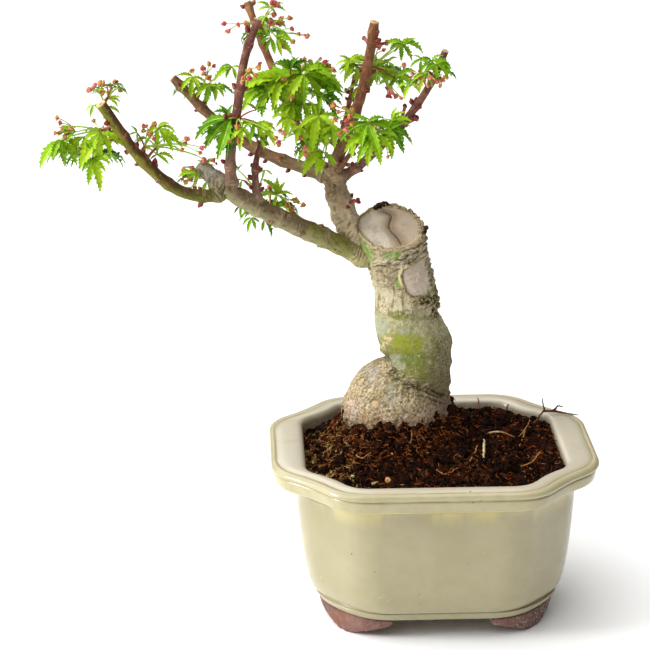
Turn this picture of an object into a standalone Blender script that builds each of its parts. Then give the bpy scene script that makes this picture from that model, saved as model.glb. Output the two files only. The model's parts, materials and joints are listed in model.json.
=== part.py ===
# Small potted maple bonsai, about 24 cm tall.
#
# A lobed, glazed ceramic pot stands on four clay feet and holds a mound of soil. A short twisted
# trunk, cut off at an angle, carries one leader and one long bough on its left. Their shoots are
# pruned to blunt ends and bear open masses of young leaves.
#
# Everything is laid out in millimetres around the pot's own centre, on the ground, and hangs from
# one empty. The empty puts the bottom centre of the finished part's box at the world's origin.

import math

import bmesh
import bpy
from mathutils import Matrix, Vector, noise

MM = 0.001
GAP = 0.3                         # clearance between two pieces that touch

# Pot: glazed bowl with a broad flat lip
POT_HEIGHT = 68.4
RIM_HALF = (63.3, 51.4)           # outer edge of the lip, half length and half width
MOUTH_HALF = (49.7, 42.9)         # edge of the opening
WALL_TOP_HALF = (54.4, 46.7)      # outside of the wall, just under the lip
WALL_CURVE = 0.45                 # below 1, the wall is upright above and drawn in at its foot
BASE_HALF = (46.7, 36.4)          # outside of the band round the base
LIP_THICKNESS = 8.8
BASE_LEVEL = 8.8                  # underside of the base, clear of the ground
BASE_BAND = 3.8                   # height of that band
FLOOR_LEVEL = 13.9                # inside floor
DRAIN_RADIUS = 7.0
BASE_SHIFT = 1.8                  # how far the fired base stands to the right of the lip

# Corners of the pot's plan: how far each is cut back along both its sides, and the depth of the
# notch in the middle of that cut (below zero, the cut bulges outwards)
BASE_CORNER = (20.0, -1.9)
WALL_FOOT_CORNER = (22.0, -1.2)
WALL_TOP_CORNER = (22.0, 0.4)
LIP_CORNER = (25.5, 1.6)
MOUTH_CORNER = (17.2, 1.6)
INSIDE_CORNER = (17.2, 0.8)
INSIDE_FOOT_CORNER = (17.2, -1.0)
FLOOR_CORNER = (16.0, -1.5)

# Inside of the pot: how far it is drawn in from the opening at half height, near the floor and at it
INSIDE_INSET = 1.0
INSIDE_FOOT_INSET = 6.0
INSIDE_FOOT_RISE = 6.0
FLOOR_INSET = 13.0

# Feet
FOOT_REACH = 21.0                 # how far a foot runs round its corner, each way
FOOT_PAD_REACH = 4.5              # the same for the pad that it stands on
FOOT_THICKNESS = 8.0
FOOT_POINTS = 9

# Soil
SOIL_SEAT_LEVEL = 72.4            # flat top of the mound, where the trunk stands
SOIL_SEAT_RADIUS = 22.5
SOIL_EDGE_LEVEL = 63.9            # mean level along the wall of the pot
SOIL_SLOPE = 1.6                  # the soil's edge rises this much to the right, falls it to the left
SOIL_CLEARANCE = 0.6              # to the pot's wall; at its slanting corners this leaves GAP

# Trunk: a fat foot, a slanting crease above it, and a thinner neck that widens at the cut
TRUNK_FOOT_LEVEL = SOIL_SEAT_LEVEL + GAP
TRUNK_STATIONS = (
    # level above the ground, x, y, radius, tilt in degrees
    (TRUNK_FOOT_LEVEL, -14.0, 8.5, 20.6, 0.0),
    (78.4, -13.6, 8.5, 20.8, 8.0),
    (83.4, -12.0, 8.5, 20.3, 17.0),
    (87.4, -9.6, 8.5, 18.9, 26.0),
    (90.9, -5.9, 8.4, 16.0, 32.0),
    (95.4, -5.4, 8.4, 15.3, 27.0),
    (102.4, -6.2, 8.4, 15.2, 18.0),
    (110.4, -7.4, 8.4, 14.8, 10.0),
    (118.4, -9.2, 8.4, 13.0, 5.0),
    (128.4, -10.2, 8.2, 12.0, 0.0),
    (138.4, -12.7, 7.6, 12.0, 0.0),
    (146.4, -15.3, 6.8, 12.6, 0.0),
    (153.4, -16.5, 5.8, 13.6, 0.0),
    (158.4, -17.0, 5.4, 12.9, 0.0),
    (164.4, -17.4, 5.2, 11.8, 0.0),
)
TRUNK_SIDES = 22
TRUNK_UNEVENNESS = 0.04
CUT_CENTRE = Vector((-16.7, 5.7, 154.0))
CUT_TILT = 27.5                   # degrees that the pruning cut leans to the front

# Limbs: parent, route from inside the parent to the tip, radius at foot and tip
LIMBS = {
    "leader": (
        "trunk",
        ((-18.0, 8.3, 143.9), (-31.0, 9.4, 153.1), (-36.0, 12.6, 164.4), (-38.4, 15.0, 175.9)),
        (6.4, 4.5),
    ),
    "bough_lower_left": (
        "trunk",
        ((-20.0, 9.0, 139.9), (-33.0, 5.2, 146.6), (-50.0, -3.6, 156.8), (-65.0, -10.3, 166.3),
         (-79.5, -16.6, 176.8)),
        (4.5, 3.2),
    ),
    "bough_upper_left": (
        "leader",
        ((-38.0, 14.6, 171.9), (-48.0, 18.1, 174.4), (-66.0, 24.0, 180.2), (-83.1, 29.7, 191.3),
         (-98.6, 34.3, 206.5)),
        (2.8, 1.6),
    ),
    "bough_outer_left": (
        "bough_lower_left",
        ((-77.0, -15.6, 175.0), (-88.0, -17.8, 174.3), (-98.5, -19.9, 178.8),
         (-110.5, -22.4, 191.5), (-122.5, -25.7, 210.9)),
        (2.4, 1.9),
    ),
    "stub_left": (
        "bough_lower_left",
        ((-77.5, -15.6, 175.3), (-82.5, -12.6, 179.3), (-88.0, -8.6, 183.0)),
        (3.1, 2.3),
    ),
    "shoot_left_upright": (
        "bough_lower_left",
        ((-76.6, -15.2, 174.8), (-76.8, -16.4, 189.4), (-74.2, -13.8, 205.4),
         (-71.2, -10.4, 223.4), (-66.2, -8.1, 237.4)),
        (2.2, 1.4),
    ),
    "shoot_mid_left": (
        "bough_lower_left",
        ((-66.5, -11.4, 167.0), (-67.8, -13.0, 177.4), (-67.2, -13.1, 187.4),
         (-61.9, -11.3, 199.7)),
        (1.7, 0.9),
    ),
    "shoot_back_upright": (
        "leader",
        ((-38.2, 15.6, 171.4), (-49.1, 23.2, 185.1), (-63.9, 34.8, 218.9), (-69.8, 38.1, 234.9)),
        (2.0, 1.4),
    ),
    "shoot_right_upright": (
        "leader",
        ((-38.0, 14.2, 172.9), (-35.2, 11.5, 183.9), (-28.4, 6.6, 204.4), (-24.9, 4.1, 223.1),
         (-23.2, 3.0, 235.9)),
        (2.7, 1.75),
    ),
    "shoot_thin": (
        "leader",
        ((-37.6, 16.4, 172.4), (-34.7, 21.5, 185.4), (-31.9, 24.4, 196.4), (-29.2, 26.6, 208.9)),
        (1.2, 0.7),
    ),
    "bough_right": (
        "leader",
        ((-37.2, 14.8, 170.8), (-28.0, 10.2, 177.7), (-13.1, -0.4, 196.1), (-3.5, -5.9, 212.0),
         (2.3, -8.3, 226.4)),
        (2.1, 1.3),
    ),
    "shoot_front_right": (
        "leader",
        ((-37.6, 13.0, 172.4), (-32.1, 5.4, 183.3), (-28.1, -2.8, 191.9), (-24.1, -8.0, 198.4)),
        (1.15, 0.7),
    ),
}
LIMB_STEP = 7.0                   # distance between two rings along a limb
LIMB_SIDES = {"leader": 14, "bough_lower_left": 14}
THIN_LIMB_SIDES = 8
LIMB_UNEVENNESS = 0.04
TAPER = 0.6                       # below 1, a limb narrows fastest near its foot

# Foliage: centre, half sizes, and how deeply the outline is cut by its leaves
MASSES = {
    "outer_left_foliage": ((-127.5, -19.5, 191.9), (18.5, 14.0, 16.5)),
    "left_tip_foliage": ((-120.0, -19.0, 212.4), (7.5, 9.5, 8.5)),
    "left_inner_foliage": ((-103.0, -17.0, 193.4), (10.5, 10.5, 9.0)),
    "upper_left_foliage": ((-86.5, 33.0, 202.4), (15.0, 14.0, 10.5)),
    "top_foliage": ((-61.0, 0.0, 230.9), (15.5, 16.0, 10.5)),
    "middle_left_foliage": ((-75.0, -15.0, 194.9), (15.5, 14.0, 11.5)),
    "stub_foliage": ((-88.5, -7.5, 177.9), (9.5, 11.0, 9.5)),
    "hanging_foliage": ((-62.5, 5.5, 162.4), (14.0, 13.0, 15.5)),
    "centre_foliage": ((-52.0, 21.0, 204.4), (21.5, 24.0, 16.0)),
    "lower_centre_foliage": ((-43.0, 4.0, 189.4), (13.0, 13.5, 15.0)),
    "right_upper_foliage": ((-20.0, 17.0, 210.9), (16.0, 16.5, 15.0)),
    "right_end_foliage": ((-4.5, -10.0, 215.9), (12.0, 12.0, 9.5)),
    "right_lower_foliage": ((-23.0, -14.0, 193.9), (13.5, 14.0, 12.0)),
}
MASS_RINGS = 8
MASS_SIDES = 13
LEAF_LOBES = 9                    # bulges round each mass
LOBE_DEPTH = 0.42                 # how far the outline falls back between them
LOBE_SHARPNESS = 7.0


# ---- Scene and materials ----

def clear_scene():
    for thing in list(bpy.data.objects):
        bpy.data.objects.remove(thing, do_unlink=True)


def make_material(name, colour, roughness, metallic=0.0):
    material = bpy.data.materials.new(name)
    material.use_nodes = True
    shader = material.node_tree.nodes["Principled BSDF"]
    shader.inputs["Base Color"].default_value = (*colour, 1.0)
    shader.inputs["Roughness"].default_value = roughness
    shader.inputs["Metallic"].default_value = metallic
    return material


def make_materials():
    return {
        "glaze": make_material("cream_glaze", (0.60, 0.55, 0.36), 0.16),
        "clay": make_material("fired_clay", (0.21, 0.10, 0.08), 0.85),
        "soil": make_material("dark_soil", (0.045, 0.022, 0.011), 0.95),
        "bark": make_material("trunk_bark", (0.42, 0.37, 0.25), 0.85),
        "limb": make_material("limb_bark", (0.24, 0.19, 0.12), 0.75),
        "leaf": make_material("young_leaves", (0.20, 0.42, 0.03), 0.60),
    }


def make_object(name, mesh_data, material, holder):
    """Turn a bmesh, in millimetres round the pot's centre, into a named object under the holder."""
    bmesh.ops.recalc_face_normals(mesh_data, faces=mesh_data.faces[:])
    if mesh_data.calc_volume(signed=True) < 0:
        bmesh.ops.reverse_faces(mesh_data, faces=mesh_data.faces[:])
    mesh = bpy.data.meshes.new(name)
    mesh_data.to_mesh(mesh)
    mesh_data.free()
    mesh.materials.append(material)
    mesh.shade_smooth()
    mesh.set_sharp_from_angle(angle=math.radians(40))
    thing = bpy.data.objects.new(name, mesh)
    bpy.context.scene.collection.objects.link(thing)
    thing.parent = holder
    return thing


# ---- Lofting ----

def bridge_rings(mesh_data, rings, closed):
    """Join rings of equal length with quads; close the run on itself or cap both its ends."""
    loops = [[mesh_data.verts.new(point) for point in ring] for ring in rings]
    pairs = list(zip(loops, loops[1:]))
    if closed:
        pairs.append((loops[-1], loops[0]))
    count = len(rings[0])
    for low, high in pairs:
        for i in range(count):
            j = (i + 1) % count
            mesh_data.faces.new((low[i], low[j], high[j], high[i]))
    if not closed:
        for loop in (loops[0], loops[-1]):
            mesh_data.faces.new(loop)
    return loops


def smooth_route(points, step):
    """Points about one step apart on a Catmull-Rom curve through the given points."""
    stops = [Vector(p) for p in points]
    padded = [2 * stops[0] - stops[1]] + stops + [2 * stops[-1] - stops[-2]]
    route = []
    for i in range(1, len(padded) - 2):
        before, start, end, after = padded[i - 1:i + 3]
        pieces = max(1, round((end - start).length / step))
        for k in range(pieces):
            t = k / pieces
            route.append(0.5 * (
                2 * start
                + (end - before) * t
                + (2 * before - 5 * start + 4 * end - after) * t ** 2
                + (3 * start - before - 3 * end + after) * t ** 3))
    route.append(stops[-1])
    return route


def limb_rings(name, grown=0.0):
    """Rings round a limb's route; grown widens and lengthens them for a cutter."""
    _, points, (foot_radius, tip_radius) = LIMBS[name]
    route = smooth_route(points, LIMB_STEP)
    sides = LIMB_SIDES.get(name, THIN_LIMB_SIDES)
    heading = (route[-1] - route[-2]).normalized()
    route[0] = route[0] - (route[1] - route[0]).normalized() * grown
    route[-1] = route[-1] + heading * grown
    side = heading.orthogonal().normalized()
    rings = []
    for i, centre in enumerate(route):
        along = (route[min(i + 1, len(route) - 1)] - route[max(i - 1, 0)]).normalized()
        side = (side - along * side.dot(along)).normalized()
        other = along.cross(side)
        share = i / (len(route) - 1)
        radius = foot_radius + (tip_radius - foot_radius) * share ** TAPER
        ring = []
        for k in range(sides):
            angle = math.tau * k / sides
            out = side * math.cos(angle) + other * math.sin(angle)
            uneven = 1 + LIMB_UNEVENNESS * noise.noise(centre * 0.3 + out * 0.8)
            ring.append(centre + out * (radius * uneven + grown))
        rings.append(ring)
    return rings


# ---- Pot ----

def rounded_corner(before, corner, after, reach, steps):
    """Points of a parabola that rounds one corner and leaves each edge at most halfway along."""
    start = corner + (before - corner).normalized() * min(reach, (before - corner).length / 2)
    end = corner + (after - corner).normalized() * min(reach, (after - corner).length / 2)
    points = []
    for k in range(steps + 1):
        t = k / steps
        points.append(start * (1 - t) ** 2 + corner * 2 * t * (1 - t) + end * t ** 2)
    return points


def lobed_quarter(half, corner):
    """One quarter of the pot's plan, from its long side to its short side.

    The corner is cut back along both sides, and the middle of that cut lies dent inside the
    straight line between its ends: two lobes with a shallow notch between them.
    """
    half_x, half_y = half
    cut, dent = corner
    middle = Vector((half_x - cut / 2 - dent, half_y - cut / 2 - dent))
    front = Vector((half_x - cut, half_y))
    side = Vector((half_x, half_y - cut))
    reach = 0.32 * cut
    return (
        rounded_corner(Vector((0, half_y)), front, middle, reach, 3)
        + rounded_corner(front, middle, side, reach * 0.8, 2)
        + rounded_corner(middle, side, Vector((half_x, 0)), reach, 3)
    )


def lean_at(level):
    """Sideways shift of the pot at a level: none at the lip, BASE_SHIFT at the base and below."""
    share = (POT_HEIGHT - LIP_THICKNESS - level) / (POT_HEIGHT - LIP_THICKNESS - BASE_LEVEL)
    return BASE_SHIFT * min(1.0, max(0.0, share))


def lobed_ring(level, half, corner):
    quarter = lobed_quarter(half, corner)
    flat = quarter + [Vector((p.x, -p.y)) for p in reversed(quarter)]
    flat = flat + [Vector((-p.x, -p.y)) for p in quarter]
    flat = flat + [Vector((-p.x, p.y)) for p in reversed(quarter)]
    return [Vector((p.x + lean_at(level), p.y, level)) for p in flat]


def round_ring(level, radius):
    """A circle with as many points as a lobed ring, each in the same direction."""
    pattern = lobed_ring(BASE_LEVEL, shifted(MOUTH_HALF, -FLOOR_INSET), FLOOR_CORNER)
    lean = lean_at(BASE_LEVEL)
    ring = []
    for point in pattern:
        out = Vector((point.x - lean, point.y)).normalized() * radius
        ring.append(Vector((out.x + lean, out.y, level)))
    return ring


def shifted(half, amount):
    return (half[0] + amount, half[1] + amount)


def between(low, high, share):
    return (low[0] + (high[0] - low[0]) * share, low[1] + (high[1] - low[1]) * share)


def wall_half(level):
    """Half sizes of the outside of the wall: nearly upright above, drawn in towards the base."""
    wall_foot = BASE_LEVEL + BASE_BAND
    share = (level - wall_foot) / (POT_HEIGHT - LIP_THICKNESS - wall_foot)
    return between(shifted(BASE_HALF, 1.0), WALL_TOP_HALF, share ** WALL_CURVE)


def pot_rings():
    lip_foot = POT_HEIGHT - LIP_THICKNESS
    wall_foot = BASE_LEVEL + BASE_BAND
    rings = [
        lobed_ring(BASE_LEVEL, shifted(BASE_HALF, -0.8), BASE_CORNER),
        lobed_ring(BASE_LEVEL + 0.8, BASE_HALF, BASE_CORNER),
        lobed_ring(wall_foot - 0.6, shifted(BASE_HALF, 1.1), BASE_CORNER),
        lobed_ring(wall_foot, shifted(BASE_HALF, 0.7), BASE_CORNER),
    ]
    for share in (0.06, 0.16, 0.32, 0.6, 1.0):
        level = wall_foot + (lip_foot - wall_foot) * share
        corner = between(WALL_FOOT_CORNER, WALL_TOP_CORNER, share)
        rings.append(lobed_ring(level, wall_half(level), corner))
    rings += [
        lobed_ring(lip_foot + 0.3, shifted(RIM_HALF, -2.6), LIP_CORNER),
        lobed_ring(lip_foot + 1.6, shifted(RIM_HALF, -1.2), LIP_CORNER),
        lobed_ring(POT_HEIGHT - 3.2, shifted(RIM_HALF, -0.8), LIP_CORNER),
        lobed_ring(POT_HEIGHT - 1.7, RIM_HALF, LIP_CORNER),
        lobed_ring(POT_HEIGHT - 0.4, shifted(RIM_HALF, -0.8), LIP_CORNER),
        lobed_ring(POT_HEIGHT, shifted(RIM_HALF, -2.4), LIP_CORNER),
        lobed_ring(POT_HEIGHT, shifted(MOUTH_HALF, 1.4), MOUTH_CORNER),
        lobed_ring(POT_HEIGHT - 1.4, MOUTH_HALF, MOUTH_CORNER),
        lobed_ring(POT_HEIGHT / 2, shifted(MOUTH_HALF, -INSIDE_INSET), INSIDE_CORNER),
        lobed_ring(FLOOR_LEVEL + INSIDE_FOOT_RISE, shifted(MOUTH_HALF, -INSIDE_FOOT_INSET),
                   INSIDE_FOOT_CORNER),
        lobed_ring(FLOOR_LEVEL, shifted(MOUTH_HALF, -FLOOR_INSET), FLOOR_CORNER),
    ]
    rings.append(round_ring(FLOOR_LEVEL, DRAIN_RADIUS))
    rings.append(round_ring(BASE_LEVEL, DRAIN_RADIUS))
    return rings


def make_pot(materials, holder):
    mesh_data = bmesh.new()
    bridge_rings(mesh_data, pot_rings(), closed=True)
    return make_object("pot_body", mesh_data, materials["glaze"], holder)


def stretch_round_corner(half, reach):
    """Evenly spaced points and outward normals over reach each way round a corner of the base."""
    corner = lobed_quarter(half, BASE_CORNER)
    lengths = [(b - a).length for a, b in zip(corner, corner[1:])]
    middle = sum(lengths) / 2
    points = []
    normals = []
    for k in range(FOOT_POINTS):
        left = middle + reach * (2 * k / (FOOT_POINTS - 1) - 1)
        i = 0
        while i < len(lengths) - 1 and left > lengths[i]:
            left -= lengths[i]
            i += 1
        along = (corner[i + 1] - corner[i]).normalized()
        points.append(corner[i] + along * left)
        normals.append(Vector((-along.y, along.x)))
    return points, normals


def foot_ring(level, reach, thickness, inset):
    """Plan of one foot: a strip of even thickness that follows the corner of the base."""
    outer, normals = stretch_round_corner(shifted(BASE_HALF, -inset), reach)
    inner = [p - n * thickness for p, n in zip(outer, normals)]
    return [Vector((p.x, p.y, level)) for p in outer + inner[::-1]]


def make_feet(materials, holder):
    """Four feet, each a strip that narrows from a wing under the base to a blunt pad."""
    top = BASE_LEVEL - GAP
    wing = FOOT_REACH - FOOT_PAD_REACH
    sections = (
        # level, reach, thickness, inset from the edge of the base
        (top, FOOT_REACH, FOOT_THICKNESS, 0.7),
        (top * 0.60, FOOT_PAD_REACH + wing * 0.96, FOOT_THICKNESS, 0.6),
        (top * 0.34, FOOT_PAD_REACH + wing * 0.84, FOOT_THICKNESS - 0.3, 0.6),
        (top * 0.23, FOOT_PAD_REACH + wing * 0.62, FOOT_THICKNESS - 0.6, 0.6),
        (top * 0.16, FOOT_PAD_REACH + wing * 0.20, FOOT_THICKNESS - 1.0, 0.5),
        (top * 0.09, FOOT_PAD_REACH + wing * 0.05, FOOT_THICKNESS - 1.8, 0.6),
        (0.0, FOOT_PAD_REACH, FOOT_THICKNESS - 2.8, 0.9),
    )
    corners = {
        "foot_front_left": (-1, -1),
        "foot_front_right": (1, -1),
        "foot_back_left": (-1, 1),
        "foot_back_right": (1, 1),
    }
    lean = lean_at(0.0)
    for name, (sign_x, sign_y) in corners.items():
        mesh_data = bmesh.new()
        rings = []
        for section in sections:
            ring = foot_ring(*section)
            rings.append([Vector((p.x * sign_x + lean, p.y * sign_y, p.z)) for p in ring])
        bridge_rings(mesh_data, rings, closed=False)
        make_object(name, mesh_data, materials["clay"], holder)


# ---- Soil ----

def make_soil(materials, holder):
    """Mound that fills the pot to just below the lip and rises to a flat seat for the trunk."""
    mesh_data = bmesh.new()
    inset = SOIL_CLEARANCE
    rings = [
        lobed_ring(FLOOR_LEVEL + GAP, shifted(MOUTH_HALF, -FLOOR_INSET - inset), FLOOR_CORNER),
        lobed_ring(FLOOR_LEVEL + INSIDE_FOOT_RISE + inset,
                   shifted(MOUTH_HALF, -INSIDE_FOOT_INSET - inset), INSIDE_FOOT_CORNER),
        lobed_ring(POT_HEIGHT / 2, shifted(MOUTH_HALF, -INSIDE_INSET - inset), INSIDE_CORNER),
    ]
    edge = lobed_ring(SOIL_EDGE_LEVEL, shifted(MOUTH_HALF, -inset), MOUTH_CORNER)
    centre = Vector(TRUNK_STATIONS[0][1:3])
    levels = []
    for point in edge:
        rise = SOIL_SLOPE * point.x / MOUTH_HALF[0] + 0.7 * noise.noise(point * 0.12)
        levels.append(SOIL_EDGE_LEVEL + rise)
    for share in (0.0, 0.45, 0.8, 1.0):
        ring = []
        for point, level in zip(edge, levels):
            out = (point.to_2d() - centre)
            seat = centre + out.normalized() * SOIL_SEAT_RADIUS
            place = point.to_2d().lerp(seat, share)
            lift = level + (SOIL_SEAT_LEVEL - level) * math.sin(share * math.pi / 2) ** 1.4
            ring.append(Vector((*place, lift)))
        rings.append(ring)
    bridge_rings(mesh_data, rings, closed=False)
    return make_object("soil", mesh_data, materials["soil"], holder)


# ---- Trunk and limbs ----

def trunk_rings(grown=0.0):
    """Tilted growth rings from the flat foot up past the pruning cut."""
    rings = []
    for level, x, y, radius, tilt in TRUNK_STATIONS:
        centre = Vector((x, y, level))
        if level == TRUNK_FOOT_LEVEL:
            centre.z -= grown
        turn = Matrix.Rotation(math.radians(tilt), 3, "Y")
        ring = []
        for k in range(TRUNK_SIDES):
            angle = math.tau * k / TRUNK_SIDES
            out = Vector((math.cos(angle), 0.94 * math.sin(angle), 0.0))
            uneven = 1 + TRUNK_UNEVENNESS * noise.noise(centre * 0.05 + out * 1.4)
            ring.append(centre + turn @ (out * (radius * uneven + grown)))
        rings.append(ring)
    return rings


def trunk_mesh(grown=0.0):
    """Lofted trunk with its top cut off by a plane that leans to the front."""
    mesh_data = bmesh.new()
    bridge_rings(mesh_data, trunk_rings(grown), closed=False)
    normal = Matrix.Rotation(math.radians(CUT_TILT), 3, "X") @ Vector((0, 0, 1))
    everything = mesh_data.verts[:] + mesh_data.edges[:] + mesh_data.faces[:]
    cut = bmesh.ops.bisect_plane(
        mesh_data, geom=everything, plane_co=CUT_CENTRE + normal * grown, plane_no=normal,
        clear_outer=True)
    rim = [item for item in cut["geom_cut"] if isinstance(item, bmesh.types.BMEdge)]
    bmesh.ops.contextual_create(mesh_data, geom=rim)
    return mesh_data


def limb_mesh(name, grown=0.0):
    mesh_data = bmesh.new()
    bridge_rings(mesh_data, limb_rings(name, grown), closed=False)
    return mesh_data


def make_cutter(name, mesh_data, material, holder):
    cutter = make_object(name + "_cutter", mesh_data, material, holder)
    cutter.hide_render = True
    cutter.display_type = "WIRE"
    return cutter


def box_of(thing):
    corners = [v.co for v in thing.data.vertices]
    low = Vector([min(c[i] for c in corners) for i in range(3)])
    high = Vector([max(c[i] for c in corners) for i in range(3)])
    return low, high


def boxes_meet(first, second):
    (low_a, high_a), (low_b, high_b) = box_of(first), box_of(second)
    return all(low_a[i] < high_b[i] and low_b[i] < high_a[i] for i in range(3))


def keep_largest_body(mesh):
    """Delete every loose piece of a mesh but the one with the most volume."""
    mesh_data = bmesh.new()
    mesh_data.from_mesh(mesh)
    waiting = set(mesh_data.verts)
    bodies = []
    while waiting:
        body = set()
        front = [waiting.pop()]
        while front:
            vertex = front.pop()
            body.add(vertex)
            for edge in vertex.link_edges:
                other = edge.other_vert(vertex)
                if other in waiting:
                    waiting.remove(other)
                    front.append(other)
        bodies.append(body)
    bodies.sort(key=lambda body: body_span(body), reverse=True)
    for body in bodies[1:]:
        bmesh.ops.delete(mesh_data, geom=list(body), context="VERTS")
    mesh_data.to_mesh(mesh)
    mesh_data.free()


def body_span(body):
    places = [vertex.co for vertex in body]
    spans = [max(p[i] for p in places) - min(p[i] for p in places) for i in range(3)]
    return spans[0] * spans[1] * spans[2]


def carve(thing, cutters):
    """Cut a piece back from its neighbours and keep the largest body that is left.

    A dozen thin limbs meet at the head of the leader, and the EXACT solver loses some of those
    cuts. All the meshes are closed, so the MANIFOLD solver can make them.
    """
    for cutter in cutters:
        if boxes_meet(thing, cutter):
            cut = thing.modifiers.new("clear_of_" + cutter.name, "BOOLEAN")
            cut.operation = "DIFFERENCE"
            cut.solver = "MANIFOLD"
            cut.object = cutter
    view = bpy.context.evaluated_depsgraph_get()
    carved = bpy.data.meshes.new_from_object(thing.evaluated_get(view))
    keep_largest_body(carved)
    thing.modifiers.clear()
    thing.data = carved


def make_tree(materials, holder):
    """The trunk, then each limb cut back from what it grows out of; returns all the cutters."""
    make_object("trunk", trunk_mesh(), materials["bark"], holder)
    cutters = {"trunk": make_cutter("trunk", trunk_mesh(GAP), materials["bark"], holder)}
    for name in LIMBS:
        limb = make_object(name, limb_mesh(name), materials["limb"], holder)
        carve(limb, cutters.values())
        cutters[name] = make_cutter(name, limb_mesh(name, GAP), materials["limb"], holder)
    return list(cutters.values())


# ---- Foliage ----

def lobe_directions(seed):
    """Directions spread over a ball, turned and jittered by the seed."""
    directions = []
    golden = math.pi * (3 - math.sqrt(5))
    for k in range(LEAF_LOBES):
        height = 1 - 2 * (k + 0.5) / LEAF_LOBES
        angle = golden * k + seed * 1.7
        flat = math.sqrt(1 - height * height)
        direction = Vector((flat * math.cos(angle), flat * math.sin(angle), height))
        jitter = Vector([noise.noise(direction * 2.0 + Vector((seed, 7.3 * i, 0.0)))
                         for i in range(3)])
        directions.append((direction + jitter * 0.35).normalized())
    return directions


def mass_mesh(name, seed, grown=0.0):
    """An uneven ball whose outline bulges where its leaf sprays reach out."""
    centre, half = (Vector(value) for value in MASSES[name])
    lobes = lobe_directions(seed)
    mesh_data = bmesh.new()
    bmesh.ops.create_uvsphere(mesh_data, u_segments=MASS_SIDES, v_segments=MASS_RINGS, radius=1.0)
    for vertex in mesh_data.verts:
        out = vertex.co.normalized()
        pull = sum(max(0.0, out.dot(lobe)) ** LOBE_SHARPNESS for lobe in lobes)
        reach = 1.05 - LOBE_DEPTH * (1.0 - min(1.0, pull))
        place = Vector([out[i] * reach * half[i] for i in range(3)])
        vertex.co = centre + place
    bmesh.ops.triangulate(mesh_data, faces=mesh_data.faces[:])
    mesh_data.normal_update()
    shifts = [vertex.normal * grown for vertex in mesh_data.verts]
    for vertex, shift in zip(mesh_data.verts, shifts):
        vertex.co += shift
    return mesh_data


def make_foliage(materials, holder, limb_cutters):
    """Each mass is cut round the limbs and cut back from the masses before it."""
    cutters = list(limb_cutters)
    for seed, name in enumerate(MASSES, start=1):
        mass = make_object(name, mass_mesh(name, seed), materials["leaf"], holder)
        carve(mass, cutters)
        cutters.append(
            make_cutter(name, mass_mesh(name, seed, 1.6 * GAP), materials["leaf"], holder))


# ---- Placing the finished part ----

def to_metres(holder):
    for thing in holder.children:
        thing.data.transform(Matrix.Scale(MM, 4))


def centre_on_origin(holder):
    """Move the empty so that the bottom centre of the part's box is the world's origin."""
    corners = []
    for thing in holder.children:
        if not thing.hide_render:
            corners += box_of(thing)
    low = Vector([min(c[i] for c in corners) for i in range(3)])
    high = Vector([max(c[i] for c in corners) for i in range(3)])
    holder.location = (-(low.x + high.x) / 2, -(low.y + high.y) / 2, -low.z)
    print("pot centre at", [round(value, 5) for value in holder.location])
    print("size", [round(value, 4) for value in high - low])


def main():
    clear_scene()
    holder = bpy.data.objects.new("pot_centre", None)
    bpy.context.scene.collection.objects.link(holder)
    materials = make_materials()
    make_pot(materials, holder)
    make_feet(materials, holder)
    make_soil(materials, holder)
    limb_cutters = make_tree(materials, holder)
    make_foliage(materials, holder, limb_cutters)
    to_metres(holder)
    centre_on_origin(holder)


main()
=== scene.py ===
# Looks of the potted maple bonsai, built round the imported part.
# Lengths are millimetres measured from the middle of the pot's rim, on the ground, unless a note says
# otherwise; makePiece turns them into metres in the part's own frame.

import json
from math import atan2, cos, exp, hypot, pi, radians, sin, sqrt, tan
import random

import bmesh
import bpy
import numpy as np
from mathutils import Matrix, Vector, noise
from mathutils.bvhtree import BVHTree

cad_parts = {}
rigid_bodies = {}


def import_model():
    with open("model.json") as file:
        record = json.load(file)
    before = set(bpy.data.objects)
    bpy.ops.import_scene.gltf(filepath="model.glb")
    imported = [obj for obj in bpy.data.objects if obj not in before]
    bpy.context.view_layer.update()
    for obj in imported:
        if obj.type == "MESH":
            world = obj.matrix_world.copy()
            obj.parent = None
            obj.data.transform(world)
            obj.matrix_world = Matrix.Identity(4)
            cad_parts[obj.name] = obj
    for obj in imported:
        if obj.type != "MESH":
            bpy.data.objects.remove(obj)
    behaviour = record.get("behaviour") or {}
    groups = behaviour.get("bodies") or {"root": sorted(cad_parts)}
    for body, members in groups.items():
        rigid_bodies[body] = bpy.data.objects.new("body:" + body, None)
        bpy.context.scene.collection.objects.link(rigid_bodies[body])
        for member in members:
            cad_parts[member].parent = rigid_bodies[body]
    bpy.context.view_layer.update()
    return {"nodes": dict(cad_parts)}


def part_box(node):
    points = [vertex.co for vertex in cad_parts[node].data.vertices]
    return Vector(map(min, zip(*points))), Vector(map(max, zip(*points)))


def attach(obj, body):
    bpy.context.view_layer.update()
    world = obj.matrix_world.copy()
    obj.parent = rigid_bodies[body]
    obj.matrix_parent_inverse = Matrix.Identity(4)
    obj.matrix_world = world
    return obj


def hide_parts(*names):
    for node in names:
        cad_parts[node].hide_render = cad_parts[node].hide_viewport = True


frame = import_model()

potLow, potHigh = (Vector(corner) * 1000 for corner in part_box("pot_body"))
potX = (potLow.x + potHigh.x) / 2
rimHalf = ((potHigh.x - potLow.x) / 2, (potHigh.y - potLow.y) / 2)
potTop = potHigh.z
baseLevel = potLow.z


# Node trees written as sums of their sockets

class Wire:
    def __init__(self, maker, socket):
        self.maker = maker
        self.socket = socket

    def __add__(self, other):
        return self.maker.math("ADD", self, other)

    def __sub__(self, other):
        return self.maker.math("SUBTRACT", self, other)

    def __rsub__(self, other):
        return self.maker.math("SUBTRACT", other, self)

    def __mul__(self, other):
        return self.maker.math("MULTIPLY", self, other)

    __radd__ = __add__
    __rmul__ = __mul__


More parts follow.
